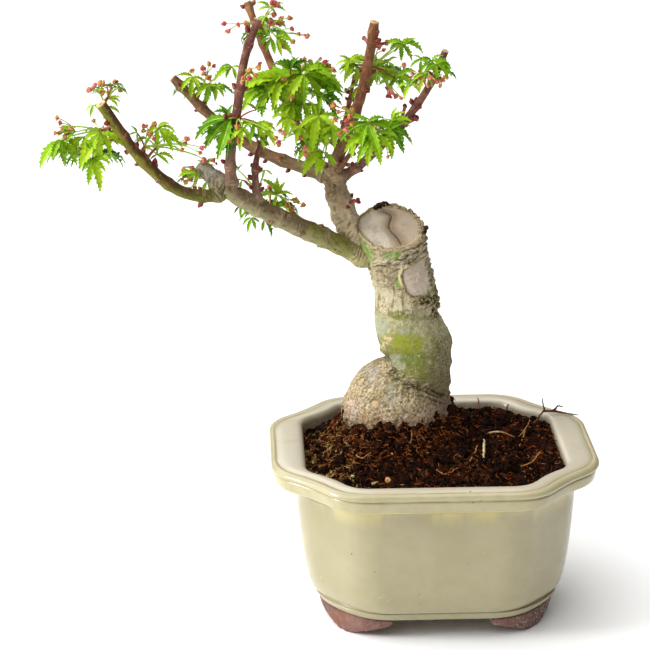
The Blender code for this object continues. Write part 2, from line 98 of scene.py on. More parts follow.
class Maker:
    # builds a node tree, node by node
    def __init__(self, tree):
        self.tree = tree

    def feed(self, socket, value):
        if isinstance(value, Wire):
            self.tree.links.new(value.socket, socket)
        elif isinstance(value, tuple) and len(value) == 3 and socket.type == "RGBA":
            socket.default_value = (*value, 1.0)
        else:
            socket.default_value = value

    def node(self, kind, settings=None, values=None, output=0):
        made = self.tree.nodes.new(kind)
        for key, value in (settings or {}).items():
            setattr(made, key, value)
        for key, value in (values or {}).items():
            self.feed(made.inputs[key], value)
        return Wire(self, made.outputs[output])

    def math(self, operation, first, second=0.0):
        return self.node("ShaderNodeMath", {"operation": operation}, {0: first, 1: second})

    def vector(self, operation, first, second, output=0):
        return self.node("ShaderNodeVectorMath", {"operation": operation},
                         {0: first, "Scale" if operation == "SCALE" else 1: second}, output)

    def axis(self, vector, name):
        return self.node("ShaderNodeSeparateXYZ", values={0: vector}, output=name)

    def band(self, value, low, high):
        # 0 below low, 1 above high, smooth between; low may be the larger
        return self.node("ShaderNodeMapRange", {"interpolation_type": "SMOOTHSTEP"}, {
            "Value": value, "From Min": low, "From Max": high, "To Min": 0.0, "To Max": 1.0})


class Recipe(Maker):
    # one material, whose colour is laid on coat by coat
    def __init__(self, name):
        self.material = bpy.data.materials.new(name)
        self.material.use_nodes = True
        super().__init__(self.material.node_tree)
        self.shader = self.tree.nodes["Principled BSDF"]

    def mix(self, factor, first, second, mode="MIX"):
        return self.node("ShaderNodeMix", {"data_type": "RGBA", "blend_type": mode},
                         {0: factor, 6: first, 7: second}, output=2)

    def ground(self, factor, first, second):
        self.colour = self.mix(factor, first, second)

    def coat(self, factor, tone):
        self.colour = self.mix(factor, self.colour, tone)

    def place(self):
        return self.node("ShaderNodeTexCoord", output="Object")

    def cloud(self, vector, scale, detail=3.0, rough=0.55, twist=0.0):
        return self.node("ShaderNodeTexNoise", values={
            "Vector": vector, "Scale": scale, "Detail": detail, "Roughness": rough, "Distortion": twist})

    def cells(self, vector, scale):
        return self.node("ShaderNodeTexVoronoi", values={"Vector": vector, "Scale": scale})

    def bump(self, height, distance, strength=1.0):
        self.feed(self.shader.inputs["Normal"], self.node("ShaderNodeBump", values={
            "Strength": strength, "Distance": distance, "Height": height}))

    def surface(self, roughness, **others):
        self.feed(self.shader.inputs["Base Color"], self.colour)
        self.feed(self.shader.inputs["Roughness"], roughness)
        for name, value in others.items():
            self.feed(self.shader.inputs[name.replace("_", " ")], value)
        return self.material


# Shared making of meshes

class Heap:
    # points and faces of one joined piece, with a material number for each face
    def __init__(self):
        self.points = []
        self.faces = []
        self.slots = []

    def face(self, slot, *corners):
        self.faces.append(corners)
        self.slots.append(slot)

    def rings(self, count, sides, slot):
        # joins the last rings of points laid in, and returns the number of their first point
        start = len(self.points) - count * sides
        for a, b, c, d in gridFaces(count, sides):
            self.face(slot, start + a, start + b, start + c, start + d)
        return start

    def piece(self, name, materials):
        return makePiece(name, self.points, self.faces, materials, self.slots)


def makePiece(name, points, faces, materials, slots=None, maps=None):
    mesh = bpy.data.meshes.new(name)
    metres = (np.array(points, dtype=float) + (potX, 0.0, 0.0)) * 0.001
    mesh.from_pydata(metres.tolist(), [], faces)
    for material in materials:
        mesh.materials.append(material)
    if slots is not None:
        mesh.polygons.foreach_set("material_index", slots)
    if maps is not None:
        layer = mesh.uv_layers.new(name="pattern")
        layer.data.foreach_set("uv", np.array(maps, dtype=float).ravel())
    mesh.polygons.foreach_set("use_smooth", [True] * len(mesh.polygons))
    mesh.validate()
    mesh.update()
    piece = bpy.data.objects.new(name, mesh)
    bpy.context.scene.collection.objects.link(piece)
    return piece


def finishPiece(piece, slot, *nodes):
    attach(piece, "root")
    if nodes:
        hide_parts(*nodes)


def gridFaces(rows, columns, wrapped=True):
    faces = []
    last = columns if wrapped else columns - 1
    for r in range(rows - 1):
        for c in range(last):
            d = (c + 1) % columns
            faces.append((r * columns + c, r * columns + d, (r + 1) * columns + d, (r + 1) * columns + c))
    return faces


def cappedFaces(rows, columns):
    # the grid's faces, and fans to one point past the last ring and to the next, below the first ring
    end = rows * columns
    faces = gridFaces(rows, columns)
    faces += [(end - columns + c, end - columns + (c + 1) % columns, end) for c in range(columns)]
    return faces + [((c + 1) % columns, c, end + 1) for c in range(columns)]


def gridMaps(rows, columns):
    # a map place for each corner of gridFaces' faces, with the seam kept whole
    maps = []
    for r in range(rows - 1):
        for c in range(columns):
            for rr, cc in ((r, c), (r, c + 1), (r + 1, c + 1), (r + 1, c)):
                maps.append((cc / columns, rr))
    return maps


def turnOutwards(mesh, merge=0.0):
    # merges points closer than that and turns the faces to the outside
    work = bmesh.new()
    work.from_mesh(mesh)
    if merge:
        bmesh.ops.remove_doubles(work, verts=work.verts[:], dist=merge)
    bmesh.ops.recalc_face_normals(work, faces=work.faces[:])
    if work.calc_volume(signed=True) < 0:
        bmesh.ops.reverse_faces(work, faces=work.faces[:])
    work.to_mesh(mesh)
    work.free()


def curvePoints(stops, step):
    # points about one step apart on a Catmull-Rom curve through the stops
    stops = [Vector(p) for p in stops]
    padded = [2 * stops[0] - stops[1]] + stops + [2 * stops[-1] - stops[-2]]
    route = []
    for before, start, end, after in zip(padded, padded[1:], padded[2:], padded[3:]):
        pieces = max(1, round((end - start).length / step))
        for k in range(pieces):
            t = k / pieces
            route.append(0.5 * (
                2 * start + (end - before) * t
                + (2 * before - 5 * start + 4 * end - after) * t ** 2
                + (3 * start - before - 3 * end + after) * t ** 3))
    route.append(stops[-1])
    return route


def bowedLine(start, middle, end, steps):
    # points of the curve from start to end that leans towards the middle one
    shares = [k / steps for k in range(steps + 1)]
    return [start * (1 - t) ** 2 + middle * 2 * t * (1 - t) + end * t ** 2 for t in shares]


def grouped(numbers, size):
    # a flat list's numbers taken together, size by size
    return list(zip(*(numbers[k::size] for k in range(size))))


def flat(rings):
    return [point for ring in rings for point in ring]


# Painted skins: a colour for each point, laid on with the shape that it belongs to

def paint(code):
    # a tone as screens write it, in the numbers shaders use
    shares = [int(code[k:k + 2], 16) / 255 for k in (0, 2, 4)]
    return tuple(share / 12.92 if share <= 0.04045 else ((share + 0.055) / 1.055) ** 2.4 for share in shares)


def noiseAt(points, scale, seed=0.0):
    # smooth noise from -1 to 1 for each point; scale is in waves per millimetre, one number or three
    spread = np.asarray(points) * np.asarray(scale, dtype=float) + seed
    return np.array([noise.noise(p) for p in spread.tolist()])


def cellsAt(points, scale, seed=0.0):
    # distance to the nearest scattered point, in cells
    spread = np.asarray(points) * np.asarray(scale, dtype=float) + seed
    return np.array([noise.voronoi(p)[0][0] for p in spread.tolist()])


def ramp(values, low, high):
    share = np.clip((values - low) / (high - low), 0.0, 1.0)
    return share * share * (3 - 2 * share)


def mixed(first, second, share):
    # either may be a row of tones or one tone's code
    first, second = (np.array(paint(tone)) if isinstance(tone, str) else tone for tone in (first, second))
    share = np.asarray(share)[:, None]
    return first * (1 - share) + second * share


def bell(value, middle, width, power=2):
    # 1 at the middle, falling to nothing on both sides
    return np.exp(-((value - middle) / width) ** power)


def colourPiece(piece, tones, name="bark"):
    layer = piece.data.color_attributes.new(name, "FLOAT_COLOR", "POINT")
    full = np.concatenate([np.clip(tones, 0.0, 1.0), np.ones((len(tones), 1))], axis=1)
    layer.data.foreach_set("color", full.ravel())


# Camera, light and floor

view = {
    "eye": (-74.84, -756.59, 385.45),
    "aim": (-41.86, -3.20, 118.4),
    "focal": 116.09,       # on a 36 mm wide sensor
    "frame": 650,          # pixels
}
eye = Vector(view["eye"])
ahead = (Vector(view["aim"]) - eye).normalized()
rightward = ahead.cross(Vector((0, 0, 1))).normalized()
upward = rightward.cross(ahead)
pixelFocal = view["focal"] / 36 * view["frame"]


def atPixel(x, y, depth):
    # the point at that depth (its y) that shows at that pixel
    middle = view["frame"] / 2
    ray = ahead * pixelFocal + rightward * (x - middle) - upward * (y - middle)
    return eye + ray * ((depth - eye.y) / ray.y)


def sightLine(x, y):
    return (atPixel(x, y, 0.0) - eye).normalized()


def metres(point):
    return (Vector(point) + Vector((potX, 0, 0))) * 0.001


def makeCamera():
    data = bpy.data.cameras.new("camera")
    data.lens = view["focal"]
    data.sensor_width = 36
    data.clip_start = 0.01
    camera = bpy.data.objects.new("camera", data)
    turn = Matrix((rightward, upward, -ahead)).transposed().to_4x4()
    camera.matrix_world = Matrix.Translation(metres(eye)) @ turn
    bpy.context.scene.collection.objects.link(camera)
    bpy.context.scene.camera = camera


studio = {
    # name: place, size across, power in watts
    "keyLight": ((-700, -190, 360), 260, 4.2),
    "rimLight": ((-160, 620, 520), 420, 0.6),
    "keySide": (-0.90, -0.22, 0.38),   # where the walls of the studio are brightest
    "dimGlow": 0.03,
    "topGlow": 2.35,
    "sideGlow": 0.75,
    "floorColour": (0.97, 0.97, 0.97),
    "floorReach": 30000,
}


def makeSky():
    # a white room: bright above and on the left, dimmer on the right
    world = bpy.data.worlds.new("studio")
    world.use_nodes = True
    sky = Maker(world.node_tree)
    way = sky.node("ShaderNodeTexCoord", output="Generated")
    above = sky.band(sky.axis(way, "Z") - sky.axis(way, "X") * 0.32, 0.50, 1.0)
    beside = sky.band(sky.vector("DOT_PRODUCT", way, studio["keySide"], output="Value"), 0.30, 0.95)
    glow = above * studio["topGlow"] + beside * studio["sideGlow"] + studio["dimGlow"]
    background = world.node_tree.nodes["Background"]
    sky.feed(background.inputs["Strength"], glow)
    sky.feed(background.inputs["Color"], (1.0, 1.0, 1.0))
    bpy.context.scene.world = world


def makeStudio():
    scene = bpy.context.scene
    makeSky()
    scene.view_settings.view_transform = "Standard"
    target = metres((-40, 0, 110))
    for name in ("keyLight", "rimLight"):
        spot, size, power = studio[name]
        data = bpy.data.lights.new(name, "AREA")
        data.shape = "DISK"
        data.size = size * 0.001
        data.energy = power
        lamp = bpy.data.objects.new(name, data)
        lamp.location = metres(spot)
        lamp.rotation_euler = (target - lamp.location).to_track_quat("-Z", "Y").to_euler()
        scene.collection.objects.link(lamp)
    reach = studio["floorReach"]
    corners = [(-reach, -reach, -0.02), (reach, -reach, -0.02), (reach, reach, -0.02), (-reach, reach, -0.02)]
    paper = Recipe("whitePaper")
    paper.colour = studio["floorColour"]
    floor = makePiece("floor", corners, [(0, 1, 2, 3)], [paper.surface(0.9)])


makeCamera()
makeStudio()
print("studio and camera made")


# Pot: base band, drawn-in wall, and a broad lip with a bead between two grooves

potShape = {
    "baseHalf": (46.7, 36.4),
    "wallTopHalf": (54.4, 46.7),
    "wallCurve": 0.45,
    "mouthHalf": (49.7, 42.9),
    "lipThickness": 8.8,
    "bandHeight": 3.8,
    "baseShift": 1.8,      # the fired base stands this far right of the lip
    "floorLevel": 13.9,
    "drainRadius": 7.0,
    "wallRows": 26,
    "baseCorner": (20.0, -1.9),     # cut along each side, notch
    "wallFootCorner": (22.0, -1.2),
    "wallTopCorner": (22.0, 0.4),
    "lipCorner": (25.5, 1.6),
    "mouthCorner": (17.2, 1.6),
}


def roundedCorner(before, corner, after, reach, steps):
    start = corner + (before - corner).normalized() * min(reach, (before - corner).length / 2)
    end = corner + (after - corner).normalized() * min(reach, (after - corner).length / 2)
    return bowedLine(start, corner, end, steps)


def straight(start, end, steps):
    return [start.lerp(end, k / steps) for k in range(1, steps)]


def planQuarter(half, corner):
    # from the middle of the long side to the middle of the short side
    halfX, halfY = half
    cut, dent = corner
    notch = Vector((halfX - cut / 2 - dent, halfY - cut / 2 - dent))
    front = Vector((halfX - cut, halfY))
    side = Vector((halfX, halfY - cut))
    reach = 0.36 * cut
    first = roundedCorner(Vector((0, halfY)), front, notch, reach, 10)
    second = roundedCorner(front, notch, side, reach, 10)
    third = roundedCorner(notch, side, Vector((halfX, 0)), reach, 10)
    points = [Vector((0, halfY))] + straight(Vector((0, halfY)), first[0], 6) + first
    points += straight(first[-1], second[0], 3) + second
    points += straight(second[-1], third[0], 3) + third
    points += straight(third[-1], Vector((halfX, 0)), 5) + [Vector((halfX, 0))]
    return points


def planRing(half, corner):
    quarter = planQuarter(half, corner)
    ring = quarter[:-1]
    ring += [Vector((p.x, -p.y)) for p in reversed(quarter)][:-1]
    ring += [Vector((-p.x, -p.y)) for p in quarter][:-1]
    ring += [Vector((-p.x, p.y)) for p in reversed(quarter)][:-1]
    return ring


def leanAt(level):
    lipFoot = potTop - potShape["lipThickness"]
    share = (lipFoot - level) / (lipFoot - baseLevel)
    return potShape["baseShift"] * min(1.0, max(0.0, share))


def blend(first, second, share):
    return tuple(a + (b - a) * share for a, b in zip(first, second))


def grown(half, amount):
    return (half[0] + amount, half[1] + amount)


def potProfile():
    # rows of (level, half sizes, corner, mark), from under the base, up the wall, over the lip and inside
    p = potShape
    lipFoot = potTop - p["lipThickness"]
    wallFoot = baseLevel + p["bandHeight"]
    rows = [(baseLevel + rise, grown(p["baseHalf"], out), p["baseCorner"], "band") for rise, out in (
        (0.0, -1.6), (0.0, -0.9), (0.15, -0.45), (0.6, -0.1), (1.4, 0.3), (2.4, 0.75), (3.0, 1.05),
        (3.3, 1.12), (3.5, 1.0), (3.62, 0.72), (3.74, 0.55))]
    for k in range(p["wallRows"]):
        share = 0.004 + 0.996 * (k / (p["wallRows"] - 1)) ** 1.6
        level = wallFoot + (lipFoot - wallFoot) * share
        half = blend(grown(p["baseHalf"], 1.0), p["wallTopHalf"], share ** p["wallCurve"])
        corner = blend(p["wallFootCorner"], p["wallTopCorner"], share)
        cove = 0.9 * ramp(share, 0.955, 1.0) ** 2
        rows.append((level, grown(half, cove), corner, "wall"))
    for mark, places in (
            ("edge", (-0.1, -3.2, 0.05, -2.5)),
            ("lip", (0.4, -1.85, 1.0, -1.4, 1.8, -1.15, 2.8, -1.0, 3.8, -0.9, 4.7, -0.85)),
            ("groove", (5.15, -0.95, 5.35, -1.1, 5.6, -0.95)),
            ("bead", (5.9, -0.5, 6.4, -0.15, 7.0, 0.0, 7.6, -0.1, 8.1, -0.5, 8.4, -1.05, 8.5, -1.6)),
            ("groove", (8.38, -2.1, 8.3, -2.4, 8.42, -2.8))):
        for rise, out in grouped(places, 2):
            rows.append((lipFoot + rise, grown(rimHalf, out), p["lipCorner"], mark))
    rimPlan = (grown(rimHalf, -3.6), p["lipCorner"])
    mouthPlan = (grown(p["mouthHalf"], 1.3), (18.0, 1.6))
    for share, sink in ((0.0, 0.1), (0.2, 0.0), (0.45, 0.0), (0.7, 0.05), (0.88, 0.1), (1.0, 0.3)):
        rows.append((potTop - sink, blend(rimPlan[0], mouthPlan[0], share),
                     blend(rimPlan[1], mouthPlan[1], share), "top"))
    inside = (0.7, 0.65, 1.4, 0.2, 2.4, 0.0, 5.0, -0.15, 9.0, -0.3, 20.0, -0.6, 34.0, -1.0)
    rows += [(potTop - sink, grown(p["mouthHalf"], out), p["mouthCorner"], "inside")
             for sink, out in grouped(inside, 2)]
    for rise, inset, corner in (
            (6.0, -6.0, (17.2, -1.0)), (1.5, -11.0, (16.4, -1.4)), (0.0, -13.0, (16.0, -1.5))):
        rows.append((p["floorLevel"] + rise, grown(p["mouthHalf"], inset), corner, "inside"))
    return rows


def leaningRing(level, half, corner):
    return [(p.x + leanAt(level), p.y, level) for p in planRing(half, corner)]


def glazeRecipe(marks):
    # the map's second number is the row, so that lines and stains follow the pot's own turns
    glaze = Recipe("creamGlaze")
    place = glaze.place()
    row = glaze.axis(glaze.node("ShaderNodeUVMap", {"uv_map": "pattern"}), "Y")
    height = glaze.axis(place, "Z")
    wide = glaze.cloud(place, 24.0)
    fine = glaze.cloud(place, 160.0, 4.0, 0.6)
    glaze.ground(glaze.band(wide, 0.35, 0.65), (0.315, 0.278, 0.150), (0.365, 0.325, 0.187))
    glaze.coat(glaze.band(height, 0.0590, 0.0612), (0.42, 0.375, 0.212))
    glaze.coat(glaze.band(fine, 0.38, 0.66) * 0.30, (0.30, 0.26, 0.13))
    drips = glaze.band(glaze.cloud(glaze.vector("MULTIPLY", place, (75.0, 75.0, 14.0)), 1.0), 0.44, 0.60)
    pool = glaze.band(height, 0.0575, 0.0602) + drips * glaze.band(height, 0.0505, 0.0585)
    glaze.coat(pool * glaze.band(height, 0.0608, 0.0602) * 0.55, (0.56, 0.47, 0.175))
    top = marks["top"]
    onTop = glaze.band(row, top - 1.6, top + 0.6)
    glaze.coat(glaze.band(row, top - 6.0, top - 3.5) * 0.55, (0.50, 0.44, 0.31))
    glaze.coat(onTop * 0.9, (0.52, 0.47, 0.365))
    stains = glaze.band(glaze.cloud(place, 70.0, 5.0, 0.65), 0.50, 0.72)
    inside = glaze.band(row, marks["inside"] - 0.6, marks["inside"] + 1.6)
    glaze.coat(inside * (0.45 + stains * 0.5), (0.15, 0.09, 0.03))
    glaze.coat(onTop * stains * 0.22, (0.34, 0.25, 0.13))
    lineWearAndShade = 0.12 + glaze.band(glaze.cloud(place, 60.0, 4.0), 0.42, 0.62) * 0.8
    # worn brown glaze in the grooves; the first line, along the lip's lower edge, is painted shade
    for number, reach, depth in marks["lines"]:
        line = glaze.band(glaze.math("ABSOLUTE", row - float(number)), reach, 0.0)
        glaze.coat(line * lineWearAndShade * depth, (0.20, 0.115, 0.04))
    dots = glaze.band(glaze.cells(place, 210.0), 0.11, 0.05)
    glaze.coat(dots * glaze.band(glaze.cloud(place, 33.0, 1.0), 0.60, 0.66) * 0.8, (0.14, 0.075, 0.03))
    glaze.bump(glaze.cloud(place, 230.0) * 0.5 + wide, 0.0004, 0.35)
    return glaze.surface(glaze.band(fine, 0.2, 0.8) * 0.10 + 0.18, Coat_Weight=0.22, Coat_Roughness=0.08)


def makePot():
    profile = potProfile()
    rings = [leaningRing(*row[:3]) for row in profile]
    floorRing = rings[-1]
    lean = leanAt(baseLevel)
    for level in (potShape["floorLevel"], baseLevel):
        # the drain hole, turned from the floor's ring
        outs = [Vector((x - lean, y)).normalized() * potShape["drainRadius"] for x, y, _ in floorRing]
        rings.append([(out.x + lean, out.y, level) for out in outs])
    rings.append(rings[0])
    names = [mark for _, _, _, mark in profile]
    marks = {
        "top": names.index("top"),
        "inside": names.index("inside"),
        # row, reach and strength of each dark line: worn glaze in the grooves, and painted shade along the
        # lip's lower edge
        "lines": ((names.index("edge") + 0.6, 1.3, 0.75), (names.index("bead") - 2, 1.2, 0.95),
                  (names.index("top") - 2, 1.2, 0.6), (names.index("wall") - 0.4, 1.2, 0.35)),
    }
    size = (len(rings), len(rings[0]))
    pot = makePiece("potBody", flat(rings), gridFaces(*size), [glazeRecipe(marks)], maps=gridMaps(*size))
    turnOutwards(pot.data, 1e-7)
    finishPiece(pot, "glaze", "pot_body")


makePot()
print("pot made")


# Feet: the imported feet, worn round and roughened

footShape = {
    "voxel": 0.45,
    "soften": 5,
    "roughness": 0.25,
    "draw": 0.13,
}


def clayRecipe():
    clay = Recipe("bareClay")
    place = clay.place()
    wide = clay.cloud(place, 90.0, 4.0)
    fine = clay.cloud(place, 700.0, 4.0, 0.65)
    # the clay's own tones, kept about a tenth darker as painted shade from the pot's overhang
    clay.ground(clay.band(wide, 0.3, 0.7), (0.115, 0.053, 0.043), (0.205, 0.102, 0.082))
    clay.coat(clay.band(fine, 0.4, 0.75) * 0.5, (0.30, 0.18, 0.14))
    clay.coat(clay.band(clay.cloud(place, 140.0), 0.56, 0.68) * 0.6, (0.19, 0.062, 0.022))
    east = clay.band(clay.axis(place, "X"), potX * 0.001, potX * 0.001 + 0.01)
    splash = clay.band(clay.cells(place, 900.0), 0.42, 0.22) * east
    splash *= clay.band(clay.axis(place, "Y"), 0.0, -0.01)
    clay.coat(splash * clay.band(clay.cloud(place, 110.0), 0.40, 0.56) * 0.8, (0.50, 0.46, 0.42))
    clay.bump(fine + wide * 0.5, 0.0005, 0.5)
    return clay.surface(0.86)


def wornCopy(node):
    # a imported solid, remeshed finely, softened and given an uneven skin
    mesh = frame["nodes"][node].data.copy()
    mesh.transform(Matrix.Scale(1000, 4))
    turnOutwards(mesh, 1e-4)
    rough = bpy.data.objects.new("draft", mesh)
    bpy.context.scene.collection.objects.link(rough)
    remesh = rough.modifiers.new("remesh", "REMESH")
    remesh.mode = "VOXEL"
    remesh.voxel_size = footShape["voxel"]
    smooth = rough.modifiers.new("soften", "SMOOTH")
    smooth.iterations = footShape["soften"]
    smooth.factor = 0.5
    whole = rough.evaluated_get(bpy.context.evaluated_depsgraph_get()).to_mesh()
    points = np.array([v.co for v in whole.vertices], dtype=float)
    normals = np.array([v.normal for v in whole.vertices], dtype=float)
    faces = [tuple(p.vertices) for p in whole.polygons]
    bpy.data.objects.remove(rough, do_unlink=True)
    middle, low, high = points.mean(axis=0), points.min(axis=0), points.max(axis=0)
    lift = footShape["roughness"] * (noiseAt(points, 0.35) + 0.5 * noiseAt(points, 1.1))
    moved = points + normals * lift[:, None]
    # drawn in towards the ground, most at the ends of the bracket
    draw = footShape["draw"] * ramp(1 - moved[:, 2] / high[2], 0.25, 0.95)
    moved[:, :2] += (middle - moved)[:, :2] * draw[:, None]
    # the underside rises from the outer corner to both ends of the bracket
    share = ((points - low) / (high - low))[:, :2]
    inner = np.where(middle[:2] < (potX, 0.0), share, 1 - share).max(axis=1)
    raised = 3.6 * ramp(inner, 0.40, 1.0) + 1.2 * ramp(-inner, -0.3, 0.0)
    moved[:, 2] += raised * (1 - np.minimum(1.0, moved[:, 2] / (high[2] * 0.85)))
    moved[:, 2] = np.maximum(moved[:, 2], 0.0)
    return moved - (potX, 0.0, 0.0), faces


def makeFeet():
    clay = clayRecipe()
    for corner in ("front_left", "front_right", "back_left", "back_right"):
        foot = makePiece("foot" + corner.title().replace("_", ""), *wornCopy("foot_" + corner), [clay])
        turnOutwards(foot.data)
        finishPiece(foot, "clay", "foot_" + corner)


makeFeet()
print("feet made")


# Bark: one recipe for the trunk and the limbs, with tones and roughness painted on

def barkRecipe(name, grain, roughness):
    # the painted skin, broken up by specks where its second attribute says that it is rough
    bark = Recipe(name)
    place = bark.place()
    tone = bark.node("ShaderNodeAttribute", {"attribute_name": "bark"}, output="Color")
    rough = bark.node("ShaderNodeAttribute", {"attribute_name": "grain"}, output="Fac")
    fine = bark.cloud(place, grain, 5.0, 0.7)
    finer = bark.cloud(place, grain * 2.3, 3.0, 0.6)
    dark = bark.mix(1.0, tone, (0.30, 0.24, 0.15), "MULTIPLY")
    bark.ground(bark.band(fine, 0.47, 0.37) * rough * 0.85, tone, dark)
    bark.coat(bark.band(fine, 0.55, 0.64) * rough * rough * 0.75, bark.mix(0.5, tone, (0.80, 0.75, 0.62)))
    bark.coat(bark.band(finer, 0.44, 0.35) * rough * 0.7, dark)
    bark.bump(fine + finer * 0.4, 0.0009, 0.8)
    return bark.surface(bark.band(fine, 0.2, 0.8) * 0.15 + roughness, Specular_IOR_Level=0.25)


def grainPiece(piece, amounts):
    layer = piece.data.attributes.new("grain", "FLOAT", "POINT")
    layer.data.foreach_set("value", np.clip(amounts, 0.0, 1.0))


# Trunk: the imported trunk's outline, with its bark laid on in relief

trunkShape = {
    "columns": 300,
    "rows": 255,
    "sinkDepth": 1.6,
    "middle": (-12.0, 8.4),
    "cutCentre": (-16.7, 5.7, 154.0),
    "cutTilt": 27.5,           # degrees, lower at the front
    "capRings": (0.992, 0.98, 0.966, 0.952, 0.94, 0.928, 0.918, 0.908, 0.897, 0.886, 0.872, 0.855, 0.83,
                 0.80, 0.765, 0.73, 0.69, 0.65, 0.61, 0.57, 0.53, 0.48, 0.43, 0.38, 0.33, 0.28, 0.23,
                 0.18, 0.13, 0.08, 0.04),
}
trunkMarks = {
    # pixels where each mark is seen, half its width, half its height, and its tone where it has its own
    "scar": ((418, 280), 6.2, 6.6),
    "smoothGreen": (((362, 252), 4.6, 5.0), ((367, 264), 3.0, 4.6), ((392, 255), 3.6, 2.0),
                    ((399, 283), 1.9, 2.8), ((356, 238), 2.2, 5.5)),
    "creamBand": ((388, 303), 8.0, 4.4),
    "olives": (((404, 343), 8.6, 4.0, "8e961a"), ((411, 361), 4.4, 2.8, "687828"),
               ((402, 316), 5.0, 1.7, "767a36")),
    "paleLichen": (((383, 328), 4.5, 3.2), ((407, 333), 5.0, 1.6), ((398, 362), 4.6, 3.4)),
    "specks": ((391, 335), (383, 352)),
    "darkEdge": (((437, 298), 4.4, 4.8), ((438, 309), 4.2, 3.4), ((426, 300), 3.4, 2.0)),
    "cutCrack": ((383, 211), (391, 215), (390, 221), (389, 226), (392, 232), (397, 237), (401, 243)),
    "crease": ((381, 357), (388, 368), (400, 379), (415, 386), (432, 390), (449, 395)),
    "rings": ((362, 380, 1.7), (375, 403, 2.1)),
    "orangeSide": ((352, 392), 5.0, 5.5),
    "footZones": (((366, 376), 4.5, 3.0, "aca08e"), ((392, 378), 4.5, 2.4, "88864e"),
                  ((384, 394), 4.2, 3.4, "aaa890"), ((406, 402), 4.0, 3.0, "c6b890"),
                  ((404, 391), 4.0, 1.8, "7c6c3e"), ((352, 404), 3.4, 3.2, "c4b4a6")),
    "greyPatches": (((370, 372), 3.5, 2.5), ((388, 398), 4.0, 3.0), ((352, 408), 3.0, 4.0)),
}


def mergedTree(node):
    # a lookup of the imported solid's surface, in the script's millimetres
    mesh = frame["nodes"][node].data
    points = [(v.co.x * 1000 - potX, v.co.y * 1000, v.co.z * 1000) for v in mesh.vertices]
    return BVHTree.FromPolygons(points, [tuple(p.vertices) for p in mesh.polygons])


def cutLevel(y):
    centre = trunkShape["cutCentre"]
    return centre[2] + (y - centre[1]) * tan(radians(trunkShape["cutTilt"]))


def trunkAxis(tree, levels):
    # the trunk's middle at each level, between the outermost points on its four sides
    places = []
    middle = list(trunkShape["middle"])
    for level in levels:
        for axis in (0, 1, 0, 1):
            ends = []
            for side in (-200, 200):
                start, way = Vector((*middle, level)), Vector()
                start[axis], way[axis] = side, -side
                ends.append(tree.ray_cast(start, way)[0][axis])
            middle[axis] = sum(ends) / 2
        places.append(tuple(middle))
    return np.array(places)


def trunkGrid(tree):
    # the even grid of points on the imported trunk, row by row up to the cut
    foot, head = (corner[2] * 1000 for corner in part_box("trunk"))
    columns = trunkShape["columns"]
    rows = trunkShape["rows"]
    angles = np.arange(columns) * 2 * pi / columns
    # how far out it reaches is looked up level by level; the cut takes its slant from the last rows
    lowCut = cutLevel(trunkShape["cutCentre"][1] - 13.0) - 0.5
    levels = np.linspace(foot + 0.4, lowCut, 60)
    axis = trunkAxis(tree, levels)
    table = [[castIn(tree, *middle, level, angle) for angle in angles] for level, middle in zip(levels, axis)]
    # past the low side of the cut only the far columns go on
    topLevels = np.linspace(lowCut, head - 0.3, 16)[1:]
    x, y = axis[-1]
    for level in topLevels:
        row = []
        for column, angle in enumerate(angles):
            found = castIn(tree, x, y, level, angle)
            flat = level - cutLevel(y + found * sin(angle)) > -0.25
            row.append(table[-1][column] if flat else found)
        table.append(row)
    levels = np.concatenate([levels, topLevels])
    axis = np.concatenate([axis, np.repeat(axis[-1:], len(topLevels), axis=0)])
    table = np.array(table)
    for _ in range(3):
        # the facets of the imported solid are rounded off
        for reach in (5, 2):
            table = (np.roll(table, reach, axis=1) + table * 2 + np.roll(table, -reach, axis=1)) / 4
        table[1:-1] = (table[:-2] + table[1:-1] * 2 + table[2:]) / 4
    grid = np.zeros((rows, columns, 3))
    for column, angle in enumerate(angles):
        radius = table[-1][column]
        for _ in range(5):
            top = cutLevel(y + radius * sin(angle))
            radius = np.interp(top, levels, table[:, column])
        wanted = np.linspace(foot - trunkShape["sinkDepth"], top, rows)
        radii = np.interp(wanted, levels, table[:, column])
        grid[:, column, 0] = np.interp(wanted, levels, axis[:, 0]) + radii * cos(angle)
        grid[:, column, 1] = np.interp(wanted, levels, axis[:, 1]) + radii * sin(angle)
        grid[:, column, 2] = wanted
    return grid, angles


def castIn(tree, x, y, level, angle):
    out = Vector((cos(angle), sin(angle), 0))
    start = Vector((x, y, level))
    hit = tree.ray_cast(start + out * 60, -out)[0]
    return (hit - start).length if hit else 10.0


def seenOn(tree, x, y):
    hit = tree.ray_cast(eye, sightLine(x, y))[0]
    return np.array(hit) if hit else np.array(atPixel(x, y, 0.0))


def creaseLevels(tree, axisX, axisY, angles):
    # the crease runs down from the left round the front to the right, and back up behind
    found = []
    for x, y in trunkMarks["crease"]:
        hit = seenOn(tree, x, y)
        found.append((atan2(hit[1] - axisY, hit[0] - axisX) % (2 * pi), hit[2]))
    found.sort()
    return np.interp(angles, [f[0] for f in found], [f[1] for f in found], period=2 * pi)


